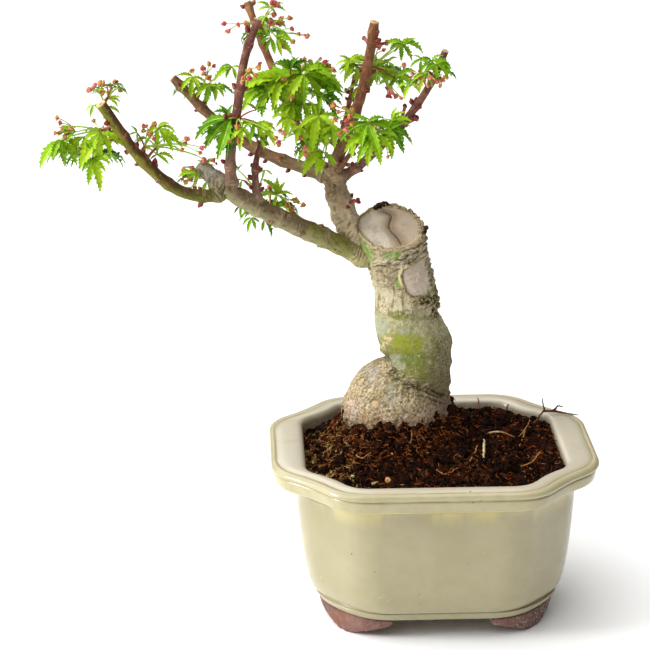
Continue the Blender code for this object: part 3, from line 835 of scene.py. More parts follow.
def trunkSkin(tree, grid, angles):
    rows, columns = grid.shape[:2]
    points = grid.reshape(-1, 3)
    x, y, level = points.T
    broad = noiseAt(points, 0.075, 3.1)
    lump = noiseAt(points, 0.22, 9.7)
    rough = noiseAt(points, 0.6, 1.3)
    fine = noiseAt(points, 1.5, 5.9)
    streak = noiseAt(points, (0.75, 0.75, 0.11), 7.3)
    drop = level - np.tile(creaseLevels(tree, -9.5, 8.4, angles), rows) - rough * 0.5
    front = ramp(-y, -12.0, 2.0)
    speck = fine + rough * 0.5
    greyBeige, lichenGrey, oliveGreen = "a49a7a", "a0a484", "767a36"
    tanBark, darkBark = "b29c76", "2e2416"

    def lay(tone, mask):
        nonlocal tones
        tones = mixed(tones, tone, mask)

    def spot(mark, wobble, soft=0.35):
        # 1 inside the mark and 0 outside, with an uneven edge
        away = points - seenOn(tree, *mark[0])
        flat = np.sqrt(away[:, 0] ** 2 + away[:, 1] ** 2) / mark[1]
        return 1 - ramp(np.sqrt((away[:, 2] / mark[2]) ** 2 + flat ** 2) + wobble * 0.35, 1 - soft, 1 + soft)

    # the foot, below the crease
    tones = mixed("baa68a", greyBeige, ramp(broad + rough * 0.4, -0.35, 0.35))
    lay(tanBark, ramp(lump, 0.1, 0.5) * 0.6)
    grain = 0.55 + 0.45 * ramp(lump + broad, -0.45, 0.35)
    lift = broad * 0.7 + lump * 0.55 + rough * 0.20 + fine * 0.07

    # the bulge above it, smoother and greener
    foot = tones
    upper = ramp(drop, 0.2, 2.2)
    tones = mixed("8c905c", oliveGreen, ramp(lump + broad, -0.6, 0.1))
    lay(lichenGrey, ramp(broad - lump * 0.5 + rough * 0.25, 0.1, 0.5) * 0.5)
    eastSide = ramp(x + rough, -6.0, 4.0)
    lay("867c5c", eastSide * ramp(streak, -0.6, 0.05) * 0.9)
    lay("544e2c", eastSide * ramp(-streak, 0.05, 0.35) * 0.6)
    shoulder = ramp(level + rough * 0.8 + lump, 111.0, 113.5) * (0.55 + 0.45 * ramp(rough + fine, -0.3, 0.3))
    lay("b4ad8a", shoulder * 0.85)
    lowEast = ramp(-level + rough, -99.0, -93.0) * ramp(x, -15.0, -6.0)
    lay("625c32", lowEast * 0.75)
    lay("34321a", lowEast * ramp(speck, 0.12, 0.34) * 0.75)
    lay("b2ac80", lowEast * ramp(-fine - rough * 0.3, 0.14, 0.36) * 0.45)
    eastSide = np.maximum(eastSide, lowEast)
    tones = mixed(foot, tones, upper)
    grain = grain * (1 - upper) + upper * (0.30 + 0.45 * eastSide)
    lift = lift * (1 - upper * 0.45)
    east = ramp(x, -8.0, 4.0)
    lift += upper * east * (bell(level, 109.0, 6.5) * 1.5 - bell(level, 120.0, 2.2) * 0.7)
    lift -= east * bell(level, 88.0, 5.0) * 0.8

    # the neck: a low step above the bulge, then streaked and flaking bark
    neck = ramp(level + rough * 1.2 + x * 0.06, 119.4, 121.6)
    neckTone = mixed("cabe9e", greyBeige, ramp(streak + lump * 0.5, -0.3, 0.35))
    lay(mixed(neckTone, "928e60", ramp(-broad - lump * 0.6, 0.0, 0.4) * 0.6), neck)
    grain = grain * (1 - neck) + neck * (0.48 + 0.35 * ramp(lump, -0.2, 0.3))
    step = level + rough * 1.0 + x * 0.06 - 120.2
    lift -= bell(step, 0, 1.1) * 0.45 * ramp(x, -18.0, 0.0)
    lay("786e42", bell(step, 0, 0.7) * 0.55)

    # layered, flaking bands that sweep up to the right round the neck
    slanted = level * cos(radians(20)) - x * sin(radians(20))
    broken = ramp(noiseAt(points, (0.35, 0.35, 0.8), 4.4), -0.5, 0.0)
    flaky = ramp(level + ramp(x, -14.0, -4.0) * 8.0, 130.0, 133.0) * broken
    flaky *= ramp(x + front * 2, -27.0, -20.0)
    flaky = np.maximum(flaky, ramp(level, 128.0, 131.0) * (1 - front) * 0.85 * broken)
    for width, depth, shift in ((2.3, 1.1, 0.0), (1.05, 0.55, 0.4)):
        turn = (slanted + lump * 1.3 + rough * 0.45) / width + shift
        layer = turn - np.floor(turn)
        lift += flaky * (layer * depth - depth * 0.45)
        gap = ramp(-layer, -0.22, -0.05) + ramp(layer, 0.96, 1.0)
        lay(mixed(tanBark, "deceb0", ramp(layer, 0.2, 0.6)), flaky * 0.6)
        lay("4e3c20", np.clip(flaky * gap, 0, 1) * 0.95)

    # raised tan dots on the bulge
    dotNear = cellsAt(points, 0.33, 5.2)
    dots = upper * (1 - neck) * ramp(-dotNear, -0.24, -0.12) * ramp(x + lump * 8, -18.0, -10.0)
    dots *= ramp(noiseAt(points, 0.3, 7.9), -0.1, 0.2)
    lift += dots * 0.3
    lay("c4ac7e", dots * 0.8)
    lay("564c26", dots * ramp(dotNear, 0.10, 0.2) * 0.8)

    # a vertical-streaked pale band below the flakes
    band = np.maximum(spot(trunkMarks["creamBand"], rough),
                      ramp(level, 128.0, 130.0) * ramp(-level, -137.0, -134.5) * 0.6)
    lay("c4bc9c", band * 0.8)
    lay("80702c", band * ramp(streak + rough * 0.2, 0.08, 0.26) * 0.95)
    lift -= band * ramp(streak, 0.16, 0.36) * 0.3

    # smooth green places where the young bark shows
    for mark in trunkMarks["smoothGreen"]:
        mask = spot(mark, rough + lump, 0.3)
        lay(mixed("7a8e3e", "a6b082", ramp(fine + streak, -0.1, 0.5)), mask)
        grain = grain * (1 - mask * 0.75)
        lift = lift * (1 - mask * 0.6)

    # the healed wound: flat and grey, slanting, with a rolled edge that is highest on its left
    centre, across, along = trunkMarks["scar"]
    away = points - seenOn(tree, *centre)
    sideways = np.sign(away[:, 0]) * np.hypot(away[:, 0], away[:, 1]) + away[:, 2] * 0.28
    reach = (np.abs(sideways / across) ** 3 + np.abs((away[:, 2] + sideways * -0.18) / along) ** 3) ** (1 / 3)
    reach += rough * 0.07 + lump * 0.05
    wound = ramp(-reach, -0.97, -0.88)
    edge = bell(reach, 1.05, 0.08)
    leftEdge = edge * ramp(-sideways, 0.5, 3.0)
    lift = lift * (1 - wound) + wound * (fine * 0.05 - 0.3 + lump * 0.3 + 0.35 * (1 - reach ** 2))
    lift += edge * 0.1 + leftEdge * 0.9
    lay(mixed("c4b49e", "d6c6b4", ramp(lump + rough * 0.5, -0.3, 0.4)), wound)
    # the pale tone along the rolled edge, heaviest on its left where the ridge stands highest, is a painted
    # highlight
    lay("d6c294", np.clip(edge * 0.15 + leftEdge, 0, 1) * 0.9)
    lay("5c4622", bell(reach, 0.94, 0.035) * ramp(-sideways, -2, 2) * 0.8)
    lay("4a3a20", bell(reach, 1.10, 0.06) * ramp(-away[:, 2], 0, 3) * ramp(fine + rough, -0.2, 0.2) * 0.9)
    grain = grain * (1 - wound * 0.7)

    # patches on the bulge
    for mark in trunkMarks["paleLichen"]:
        lay(mixed("989c86", lichenGrey, ramp(fine, -0.4, 0.4)), spot(mark, lump + rough * 0.8, 0.3) * 0.8)
    for mark in trunkMarks["olives"]:
        tone = mixed(mark[3], oliveGreen, ramp(fine + rough, -0.3, 0.6) * 0.7)
        lay(tone, spot(mark, lump + rough * 0.8) * 0.9)
    start, end = (seenOn(tree, *p) for p in trunkMarks["specks"])
    specks = ramp(-nearPath(points, (start, end)), -2.0, -1.2) * ramp(rough + fine, 0.0, 0.25)
    lift += specks * 0.35
    lay("d0b086", specks)
    grain = np.maximum(grain, specks * 0.9)

    # rough dark bark at the right edge
    for mark in trunkMarks["darkEdge"]:
        mask = spot(mark, rough)
        lift += mask * (rough * 1.0 + fine * 0.45)
        lay(mixed("2a2a10", "b09c68", ramp(speck, -0.1, 0.3)), mask)

    # the crease, with fibres above it and thin layers below its right end
    ends = np.clip(ramp(x, -3.0, 5.0) + ramp(-x, 15.0, 20.0), 0, 1)
    lift -= bell(drop, 0, 1.15) * (1.0 + 0.9 * ends)
    lift += bell(drop, 2.6, 1.5) * 0.5
    fibre = bell(drop, -0.4, 3.2)
    fibres = ramp(noiseAt(points, (0.55, 0.55, 1.9), 8.8), -0.1, 0.3)
    lift += fibre * (fibres - 0.4) * 0.7
    fibres = fibres * (1 - 0.55 * ramp(-x, 8.0, 16.0) * ramp(drop, -6.0, -1.5))
    lay(mixed("565626", "beae80", fibres), fibre * 0.9)
    lay(darkBark, bell(drop, -0.2, 0.85) * (0.75 + 0.25 * ends))
    grain = np.maximum(grain, fibre * 0.9)
    ledges = ramp(x, -10.0, 0.0) * bell(drop, -2.2, 2.8)
    grain = grain * (1 - ledges * 0.75)
    ledge = (drop + rough * 0.25 + lump * 0.5 + x * 0.10) / 1.7
    ledge = ledge - np.floor(ledge)
    lift += ledges * (ledge * 1.3 - 0.65)
    lay(mixed(darkBark, "bca87e", ramp(ledge, 0.3, 0.65)), ledges)

    # the foot: pits, moss, patches of its own tones and ringed knots
    low = ramp(-drop, 0.5, 3.0)
    pits = ramp(-cellsAt(points, 0.42, 2.2), -0.26, -0.12) * low
    lift -= pits * 0.35
    lay("544430", pits * 0.85)
    lay("70743a", low * ramp(drop + lump * 3, -9.0, -2.0) * ramp(fine + rough, 0.1, 0.4) * 0.6)
    for mark in trunkMarks["greyPatches"]:
        lay("969690", spot(mark, (lump + rough) * 1.4, 0.5) * 0.7)
    lay("ceac82", spot(trunkMarks["orangeSide"], lump + rough, 0.5) * 0.45)
    for mark in trunkMarks["footZones"]:
        lay(mark[3], spot(mark, (lump + rough) * 1.2, 0.6) * low * 0.6)
    lay("c29882", bell(level + lump * 2.0, 82.5, 2.4) * low * 0.5)
    # the foot's right flank is darkened by up to a third: painted shade
    tones = tones * (1 - 0.32 * low * ramp(x + rough, -1.0, 4.0))[:, None]
    patchy = low * (0.3 + 0.7 * ramp(noiseAt(points, 0.15, 21.0) + lump * 0.3, -0.3, 0.3))
    lay("9e8064", ramp(rough + lump * 0.6, 0.12, 0.5) * low * 0.5)
    lay("e2d8c4", ramp(speck, 0.12, 0.34) * patchy * 0.62)
    lay("68583c", ramp(-speck, 0.10, 0.36) * patchy * 0.62)
    lay("be8a58", ramp(noiseAt(points, 1.1, 12.1), 0.16, 0.44) * low * 0.45)
    lay("7e8074", ramp(noiseAt(points, 0.8, 15.3), 0.2, 0.5) * low * 0.5)
    for markX, markY, size in trunkMarks["rings"]:
        knot = seenOn(tree, markX, markY)
        away = np.linalg.norm((points - knot) * (1.0, 1.0, 1.45), axis=1) / size
        ring = bell(away, 1.0, 0.2)
        lift += ring * 0.45 - bell(away, 0, 0.75) * 0.25
        lay("ceaa76", bell(away, 0, 0.75, 4) * 0.85)
        grain = grain * (1 - 0.7 * bell(away, 0, 1.2, 4))
        lay("42301c", ring * ramp(level - knot[2], -1.2, 0.4) * 0.9)

    # a darker, wet skirt where it meets the soil
    skirt = ramp(-level + lump * 3.0 + rough * 1.6, -84.0, -78.0)
    grain = grain * (1 - 0.1 * skirt)
    lift += skirt * (noiseAt(points, (0.16, 0.16, 0.02), 6.6) * 1.6 + 0.3 + rough * 0.6)
    lay(mixed("a07e66", "362216", ramp(fine + rough, -0.1, 0.2)), skirt * 0.9)
    lay("1e120c", ramp(-level + rough * 2.2 + lump * 2.6, -79.6, -76.2) * 0.85)

    # moss, pale and dark specks and clinging dust wherever it is rough
    dusty = fine + rough * 0.45
    for tone, mask, share in (
            ("887c2c", ramp(noiseAt(points, 0.95, 2.7) + lump * 0.5, 0.22, 0.42), 0.65),
            ("e2d6b8", ramp(dusty, 0.18, 0.36), 0.55), ("705c3e", ramp(-dusty, 0.18, 0.36), 0.60),
            ("544228", ramp(fine + rough * 0.3, 0.32, 0.5), 0.5)):
        lay(tone, mask * share * grain)
    outward = np.stack([np.tile(np.cos(angles), rows), np.tile(np.sin(angles), rows),
                        np.zeros(rows * columns)], axis=1)
    return points + outward * lift[:, None], tones, grain


def cutSkin(rim):
    # rings from the edge of the cut to its middle, on its slanting plane
    normal = np.array(cutNormal())
    centre = rim.mean(axis=0)
    columns = len(rim)
    split = [np.array(p) for p in curvePoints([onCut(x, y) for x, y in trunkMarks["cutCrack"]], 0.5)]
    ragged = ramp(rim[:, 0] + rim[:, 1] * 0.7, -12.0, -2.0)
    edgeNoise = noiseAt(rim, 0.5, 3.3) + 0.6 * noiseAt(rim, 1.2, 8.3)
    rows = []
    for share in trunkShape["capRings"]:
        ring = centre + (rim - centre) * share
        rough = noiseAt(ring, 0.7, 2.5)
        lump = noiseAt(ring, 0.2, 8.1)
        fine = noiseAt(ring, 1.7, 4.9)
        away = nearPath(ring, split)
        # the face is a little narrower where the bark is ragged
        lip = share + ragged * (0.03 + 0.03 * edgeNoise) + 0.006 * edgeNoise
        groove = bell(lip, 0.918, 0.009)
        bead = bell(lip, 0.897, 0.012)
        rise = 0.55 * bell(lip, 0.955, 0.022) * (1 + ragged * edgeNoise * 1.8)
        rise += 0.28 * bead * (1 - 0.6 * ragged)
        rise -= 0.30 * groove
        rise += ragged * ramp(np.full(columns, share), 0.93, 1.0) * edgeNoise * 0.9
        face = ramp(-lip, -0.875, -0.815)
        dome = 0.9 * (1 - bell(away, 0, 3.2)) * (1 - share ** 2 * 1.2)
        rise += face * (dome - 0.25 + lump * 0.35 + rough * 0.08 + fine * 0.03)
        rise -= face * 0.55 * bell(away, 0, 0.34)
        tone = mixed("cebaa2", "e8d8c4", ramp(-(ring[:, 0] + 17.0), -2.0, 2.0))
        tone = mixed(tone, "a08466", bell(away, 0.4, 2.4) * 0.8)
        tone = mixed(tone, "a49684", ramp(lump + rough * 0.5, 0.0, 0.5) * 0.4)
        tone = mixed(tone, "583a26", bell(away, 0, 0.26) * 0.9)
        edging = mixed("ceba92", "644e2e", ramp(rough + fine, 0.0, 0.4) * (0.15 + 0.85 * ragged))
        edging = mixed(edging, "644a2a", 0.85 * groove)
        edging = mixed(edging, "deca9e", 0.9 * bead)
        rows.append((ring + normal * rise[:, None], mixed(edging, tone, face),
                     0.6 - 0.52 * face + 0.25 * bell(away, 0, 2.0) * face))
    rows.append(((centre + normal * 0.1)[None, :], rows[-1][1][:1], rows[-1][2][:1]))
    return [np.concatenate(part) for part in zip(*rows)]


def cutNormal():
    tilt = radians(trunkShape["cutTilt"])
    return Vector((0.0, -sin(tilt), cos(tilt)))


def onCut(x, y):
    # where the sight line through that pixel meets the plane of the cut
    ray = atPixel(x, y, 0.0) - eye
    share = (Vector(trunkShape["cutCentre"]) - eye).dot(cutNormal()) / ray.dot(cutNormal())
    return np.array(eye + ray * share)


def nearPath(points, path):
    best = np.full(len(points), 1e9)
    for start, end in zip(path, path[1:]):
        line = end - start
        share = np.clip((points - start) @ line / (line @ line), 0, 1)
        best = np.minimum(best, np.linalg.norm(points - (start + share[:, None] * line), axis=1))
    return best


def makeTrunk():
    tree = mergedTree("trunk")
    grid, angles = trunkGrid(tree)
    rows, columns = grid.shape[:2]
    skin, tones, grain = trunkSkin(tree, grid, angles)
    skin[-columns:, 2] = [cutLevel(y) for y in skin[-columns:, 1]]
    cap, capTones, capGrain = cutSkin(skin[-columns:])
    points = np.concatenate([skin, cap, skin[:columns].mean(axis=0)[None, :]])
    faces = cappedFaces(rows + len(trunkShape["capRings"]), columns)
    trunk = makePiece("trunkBark", points, faces, [barkRecipe("trunkBark", 900.0, 0.74)])
    colourPiece(trunk, np.concatenate([tones, capTones, tones[:1]]))
    grainPiece(trunk, np.concatenate([grain, capGrain, [0.5]]))
    finishPiece(trunk, "bark", "trunk")
    return tree


trunkTree = makeTrunk()
print("trunk made")


# Limbs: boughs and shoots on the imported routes, with collars, ring scars, buds' seats and cut tips

limbTones = {
    # top, underside, patches, then the top and underside near the limb's foot, and how knobbly it is. Top and
    # underside differ partly in colour and partly by painted light: painted shade on the underside of most
    # limbs, and on the boughs painted leaf shade on top and painted bounce light from the floor underneath
    "knobbly": ("ac9272", "846e50", "ba926c", "deccaa", "b8a480", 0.8),
    "bough": ("7a6446", "9c946c", "a09270", "847e32", "9e9e5c", 0.7),
    "upper": ("724a2c", "6c4c2e", "886848", "988262", "84704e", 0.5),
    "mossy": ("583614", "76721c", "7a622c", "4e4c12", "666c18", 0.4),
    "plum": ("7c4c3c", "683e30", "966a56", "8e6e5a", "765846", 0.25),
    "ruddy": ("98623e", "805030", "aa7852", "9e7856", "866242", 0.25),
    "young": ("82402c", "703e28", "98603c", "88583c", "744e34", 0.3),
    "stub": ("988e7c", "766a56", "c6c0b2", "968c78", "70644e", 1.0),
}
limbShape = {
    # parent, radius at foot and tip, bark, gap between nodes, route from inside the parent to the tip
    "leader": ("trunk", (5.3, 3.6), "knobbly", 7.0, (
        -18.0, 8.3, 143.9, -31.0, 9.4, 153.1, -36.0, 12.6, 164.4, -38.4, 15.0, 175.9)),
    "bough_lower_left": ("trunk", (4.1, 2.95), "bough", 8.5, (
        -20.0, 9.0, 139.9, -33.0, 5.2, 146.6, -50.0, -3.6, 157.1, -65.0, -10.3, 166.3, -79.5, -16.6,
        176.8)),
    "bough_upper_left": ("leader", (2.8, 1.6), "upper", 13.0, (
        -38.0, 14.6, 171.9, -48.0, 18.1, 174.4, -66.0, 24.0, 180.2, -83.1, 29.7, 191.3, -98.6, 34.3,
        206.5)),
    "bough_outer_left": ("bough_lower_left", (2.4, 1.9), "mossy", 13.0, (
        -77.0, -15.6, 175.0, -88.0, -17.8, 174.3, -98.5, -19.9, 178.8, -110.5, -22.4, 191.5, -122.5, -25.7,
        210.9)),
    "stub_left": ("bough_lower_left", (3.1, 2.3), "stub", 5.0, (
        -77.5, -15.6, 175.3, -82.5, -12.6, 179.3, -88.0, -8.6, 183.0)),
    "shoot_left_upright": ("bough_lower_left", (2.2, 1.4), "plum", 14.0, (
        -76.6, -15.2, 174.8, -76.8, -16.4, 189.4, -74.2, -13.8, 205.4, -71.2, -10.4, 223.4, -66.2, -8.1,
        237.4)),
    "shoot_mid_left": ("bough_lower_left", (1.7, 0.9), "plum", 9.0, (
        -66.5, -11.4, 167.0, -67.8, -13.0, 177.4, -67.2, -13.1, 187.4, -61.9, -11.3, 199.7)),
    "shoot_back_upright": ("leader", (1.9, 1.35), "ruddy", 15.0, (
        -38.2, 15.6, 171.4, -49.1, 23.2, 185.1, -63.9, 34.8, 218.9, -69.8, 38.1, 234.9)),
    "shoot_right_upright": ("leader", (2.6, 1.7), "ruddy", 14.0, (
        -38.0, 14.2, 172.9, -35.2, 11.5, 183.9, -28.4, 6.6, 204.4, -24.9, 4.1, 222.1, -23.4, 3.1, 233.8)),
    "shoot_thin": ("leader", (1.2, 0.7), "young", 11.0, (
        -37.6, 16.4, 172.4, -34.7, 21.5, 185.4, -31.9, 24.4, 196.4, -29.2, 26.6, 208.9)),
    "bough_right": ("leader", (2.0, 1.25), "plum", 13.0, (
        -37.2, 14.8, 170.8, -28.0, 10.2, 177.7, -13.1, -0.4, 196.1, -3.5, -5.9, 212.0, 1.8, -8.1, 225.2)),
    "shoot_front_right": ("leader", (1.15, 0.7), "young", 9.0, (
        -37.6, 13.0, 172.4, -32.1, 5.4, 183.3, -28.1, -2.8, 191.9, -24.1, -8.0, 198.4)),
}
limbDetail = {
    "step": 0.42,          # between two rings of points
    "thickSides": 44,
    "thinSides": 26,
    "thickFrom": 3.0,      # radius at the foot from which a limb counts as thick
    "taper": 0.6,
    "collar": 0.42,        # swelling where a limb leaves its parent, as a share of its radius
    "ripe": {"knobbly": (0.20, 0.42), "bough": (0.16, 0.50)},
    "ringed": {"knobbly": 0.85, "stub": 0.7, "bough": 0.7},    # how plain its ring scars are
    "cutTip": "e0c492",
    "cutCore": "b28e60",
    # share of the tip's radius, rise and tone
    "tipRings": ((0.97, 0.16, "e0c492"), (0.86, 0.22, "e0c492"), (0.70, 0.20, "e8d2a6"),
                 (0.50, 0.08, "ceb080"), (0.30, 0.02, "b28e60"), (0.12, 0.0, "8c6842")),
}


def routeFrames(route):
    # for each point its direction and two directions across, carried along without a twist
    frames = []
    side = None
    for k, point in enumerate(route):
        way = (route[min(k + 1, len(route) - 1)] - route[max(k - 1, 0)]).normalized()
        if side is None:
            side = way.cross(Vector((0, 1, 0)))
            if side.length < 0.1:
                side = way.cross(Vector((1, 0, 0)))
        side = (side - way * side.dot(way)).normalized()
        frames.append((point, way, side, way.cross(side)))
    return frames


class Limb:
    def __init__(self, name):
        self.name = name
        self.parent, self.radii, self.bark, self.nodeGap, stops = limbShape[name]
        self.route = curvePoints(grouped(stops, 3), limbDetail["step"])
        self.frames = routeFrames(self.route)
        lengths = [0.0]
        for a, b in zip(self.route, self.route[1:]):
            lengths.append(lengths[-1] + (b - a).length)
        self.lengths = np.array(lengths)
        self.total = lengths[-1]
        self.bare = self.leavesParent()

    def leavesParent(self):
        # how far along the route the limb comes out of its parent
        for point, run in zip(self.route, self.lengths):
            if self.parent == "trunk":
                near, normal = trunkTree.find_nearest(point)[:2]
                outside = (point - near).dot(normal) > 0
            else:
                outside = limbs[self.parent].clearOf(point)
            if outside and run > 1.0:
                return run
        return 2.0

    def clearOf(self, point):
        run = self.nearestRun(point)
        return (self.at(run)[0] - point).length > self.radiusAt(run)

    def at(self, run):
        # point, direction, side and lift at that length along the limb
        k = int(np.clip(np.searchsorted(self.lengths, run), 0, len(self.route) - 1))
        return self.frames[k]

    def radiusAt(self, run):
        foot, tip = self.radii
        return foot + (tip - foot) * min(1.0, run / self.total) ** limbDetail["taper"]

    def nearestRun(self, point):
        return self.lengths[int(np.argmin([(p - point).length for p in self.route]))]

    def nodeRuns(self, chance):
        runs = []
        run = self.bare + self.nodeGap * 0.45
        while run < self.total - 2.0:
            runs.append(run)
            run += self.nodeGap * chance.uniform(0.8, 1.2)
        return runs


limbs = {}
for limbKey in limbShape:
    # each looks up its parent among the ones before it
    limbs[limbKey] = Limb(limbKey)


def limbSkin(limb, chance):
    detail = limbDetail
    foot = limb.radii[0]
    sides = detail["thickSides"] if foot > detail["thickFrom"] else detail["thinSides"]
    limb.nodes = limb.nodeRuns(chance)
    lean = [chance.uniform(-0.25, 0.25) for _ in limb.nodes]
    around = np.arange(sides) * 2 * pi / sides
    angles = np.tile(around, len(limb.route))
    centres = np.repeat(np.array(limb.route), sides, axis=0)
    outs = np.array([side * cos(angle) + lift * sin(angle)
                     for _, _, side, lift in limb.frames for angle in around])
    runs = np.repeat(limb.lengths, sides)
    # inside its parent the limb is thinner, so that nothing of it comes out elsewhere
    radii = np.array([limb.radiusAt(run) for run in runs]) * (0.5 + 0.5 * ramp(runs, 0.0, limb.bare))
    base = centres + outs * radii[:, None]
    lump = noiseAt(base, 0.28, 4.2)
    rough = noiseAt(base, 0.9, 1.9)
    fine = noiseAt(base, 2.2, 6.4)
    streak = noiseAt(np.stack([np.cos(angles) * 3, np.sin(angles) * 3, runs * 0.35], axis=1), 1.0, foot)
    top, shade, patch, footTop, footShade, knobs = limbTones[limb.bark]

    def lay(tone, mask):
        nonlocal tones
        tones = mixed(tones, tone, mask)

    # the top tone goes where the skin faces up, the underside tone elsewhere: partly the bark's own colours,
    # partly painted light and shade
    up = ramp(outs[:, 2] * 0.75 + outs[:, 0] * 0.55 + lump * 0.5, -0.25, 0.45)
    ripe = ramp((runs - limb.bare) / limb.total + lump * 0.15, *detail["ripe"].get(limb.bark, (0.02, 0.42)))
    tones = mixed(mixed(footShade, footTop, up), mixed(shade, top, up), ripe)
    lay(patch, ramp(lump + rough * 0.4, 0.05, 0.45) * 0.6)
    tones = tones * (1 - 0.42 * ramp(streak + fine * 0.2, 0.1, 0.45)[:, None])
    lift = lump * 0.09 * foot * knobs + rough * 0.035 * foot * knobs + fine * 0.02
    if limb.bark in ("knobbly", "stub"):
        lift += ramp(rough + lump, 0.0, 0.5) * 0.35
        lay("b0a488", ramp(rough, 0.15, 0.45) * 0.6)
    # lenticels: small pale raised dots
    dots = ramp(-cellsAt(base, 0.75, foot), -0.2, -0.1)
    lift += dots * 0.06
    lay("c4a882", dots * 0.55)
    # nodes: a swelling with two pale ring scars
    ringed = detail["ringed"].get(limb.bark, 0.32)
    wide = 0.17 if foot < 4 else 0.26
    for run, slope in zip(limb.nodes, lean):
        away = runs - run - slope * radii * np.cos(angles + run)
        swell = bell(away, 0, 0.55 * foot + 0.6)
        lift += swell * 0.10 * foot + swell * 0.12
        for offset in (-2 * wide, 2 * wide):
            scar = bell(away, offset, wide)
            lift += scar * wide * 0.6
            lay("ceb88c", scar * ringed * ramp(lump * 1.5 + rough, -0.2, 0.35))
        lay("4a3224", bell(away, 0, wide * 0.9) * ringed * 0.6 * ramp(rough - lump, -0.3, 0.3))
    # collar at the parent, with wrinkles across it
    away = runs - limb.bare
    reach = 0.8 + foot * 0.55
    lift += bell(np.maximum(away, 0.0), 0, reach) * radii * detail["collar"]
    wrinkle = np.sin((away + lump * 1.6 + rough * 0.7) * (2 * pi / (0.7 + 0.2 * foot)))
    wrinkle *= ramp(noiseAt(base, 0.45, 3.7), -0.5, 0.2)
    old = 1.0 if limb.parent == "trunk" else 0.0
    folds = bell(np.maximum(away - reach * (0.35 + old), 0.0), 0, reach * 0.8) * (away > -reach)
    lift += folds * wrinkle * 0.045 * foot
    lay("d0be98", folds * ramp(wrinkle, -0.4, 0.6) * (0.35 + 0.4 * old))
    lay("504228", folds * ramp(-wrinkle, 0.3, 0.9) * (0.4 + 0.35 * old))
    # worn edge at the cut tip
    isCut = 0.0 if limb.name in parentNames else 1.0
    lay(detail["cutTip"], ramp(runs - limb.total, -0.45, -0.15) * 0.7 * isCut)
    points = centres + outs * (radii + lift)[:, None]
    if limb.parent == "trunk":
        tuckUnderCut(points)
    # the cap of the cut tip: a pale ring, then a browner, slightly sunken core
    centre, way = (np.array(part) for part in limb.frames[-1][:2])
    rim = points[-sides:]
    rings = [points]
    colours = [tones]
    for share, rise, tone in detail["tipRings"]:
        rings.append(centre + (rim - centre) * share + way * rise * isCut * radii[-1] * 0.6)
        light = (0.9 + 0.2 * ramp(rough[-sides:], -0.4, 0.4))[:, None]
        colours.append(np.array(paint(tone)) * light if isCut else tones[-sides:])
    ringCount = len(limb.route) + len(detail["tipRings"])
    points = np.concatenate(rings + [centre[None, :], np.array(limb.route[0])[None, :]])
    tones = np.concatenate(colours + [[paint(detail["cutCore"])], tones[:1]])
    return points, cappedFaces(ringCount, sides), tones


def tuckUnderCut(points):
    # nothing of a limb stands out of the pruning cut that it grows beside
    centre = np.array(trunkShape["cutCentre"])
    away = points - centre
    level = np.array([cutLevel(y) for y in points[:, 1]])
    within = np.hypot(away[:, 0], away[:, 1]) < 12.6
    over = points[:, 2] - level + 0.5
    points[:, 2] -= np.where(within & (over > 0), over, 0.0)


parentNames = {shape[0] for shape in limbShape.values()}


def makeLimbs():
    chance = random.Random(7)
    bark = barkRecipe("limbBark", 1500.0, 0.58)
    for name, limb in limbs.items():
        points, faces, tones = limbSkin(limb, chance)
        first, *words = name.split("_")
        piece = makePiece(first + "".join(w.title() for w in words) + "Bark", points, faces, [bark])
        colourPiece(piece, tones)
        grainPiece(piece, np.full(len(points), 0.12 + 0.34 * limbTones[limb.bark][5]))
        finishPiece(piece, "limb", name)


makeLimbs()
print("limbs made")


# Soil: a crumbly mound, then crumbs, fibres and a few larger bits lying on it

soilShape = {
    "edgeLevel": 63.9,
    "slope": 1.6,              # rises this much to the right, falls it to the left
    "seatLevel": 74.2,
    "seatMiddle": (-14.0, 8.5),
    "climb": 5.6,
    "climbReach": 4.2,
    "floorLevel": 14.2,
    "rings": 120,
}


def soilLevel(x, y, share):
    # share is 0 at the trunk's foot and 1 at the pot's wall
    shape = soilShape
    edge = shape["edgeLevel"] + shape["slope"] * x / potShape["mouthHalf"][0]
    rise = (1 - ramp(share, 0.30, 1.0)) * 0.75 + (1 - ramp(share, 0.05, 0.6)) * 0.25
    p = Vector((x, y, 0))
    rough = 1.1 * noise.noise(p * 0.09) + 1.7 * noise.noise(p * 0.21 + Vector((4, 1, 7)))
    rough += (1.5 * noise.noise(p * 0.42 + Vector((9, 2, 3))) + 1.0 * noise.noise(p * 0.9)
              + 0.4 * noise.noise(p * 2.2))
    rough *= (1 - 0.5 * ramp(share, 0.88, 1.0)) * (1.7 - 0.7 * ramp(share, 0.0, 0.35))
    level = edge + (shape["seatLevel"] - edge) * rise + rough
    # it climbs a little up the trunk's foot
    near = trunkTree.find_nearest(Vector((x, y, level)))[0]
    gap = hypot(near.x - x, near.y - y)
    climb = exp(-(gap / shape["climbReach"]) ** 2) * (1 + 1.1 * noise.noise(p * 0.3 + Vector((3, 8, 1))))
    return level + climb * shape["climb"]


def soilRings():
    outer = planRing(grown(potShape["mouthHalf"], -0.25), potShape["mouthCorner"])
    seat = Vector(soilShape["seatMiddle"])
    rings = []
    for k in range(soilShape["rings"]):
        share = 1 - k / soilShape["rings"]
        places = [seat + (p - seat) * share for p in outer]
        rings.append([(p.x, p.y, soilLevel(p.x, p.y, share)) for p in places])
    return rings


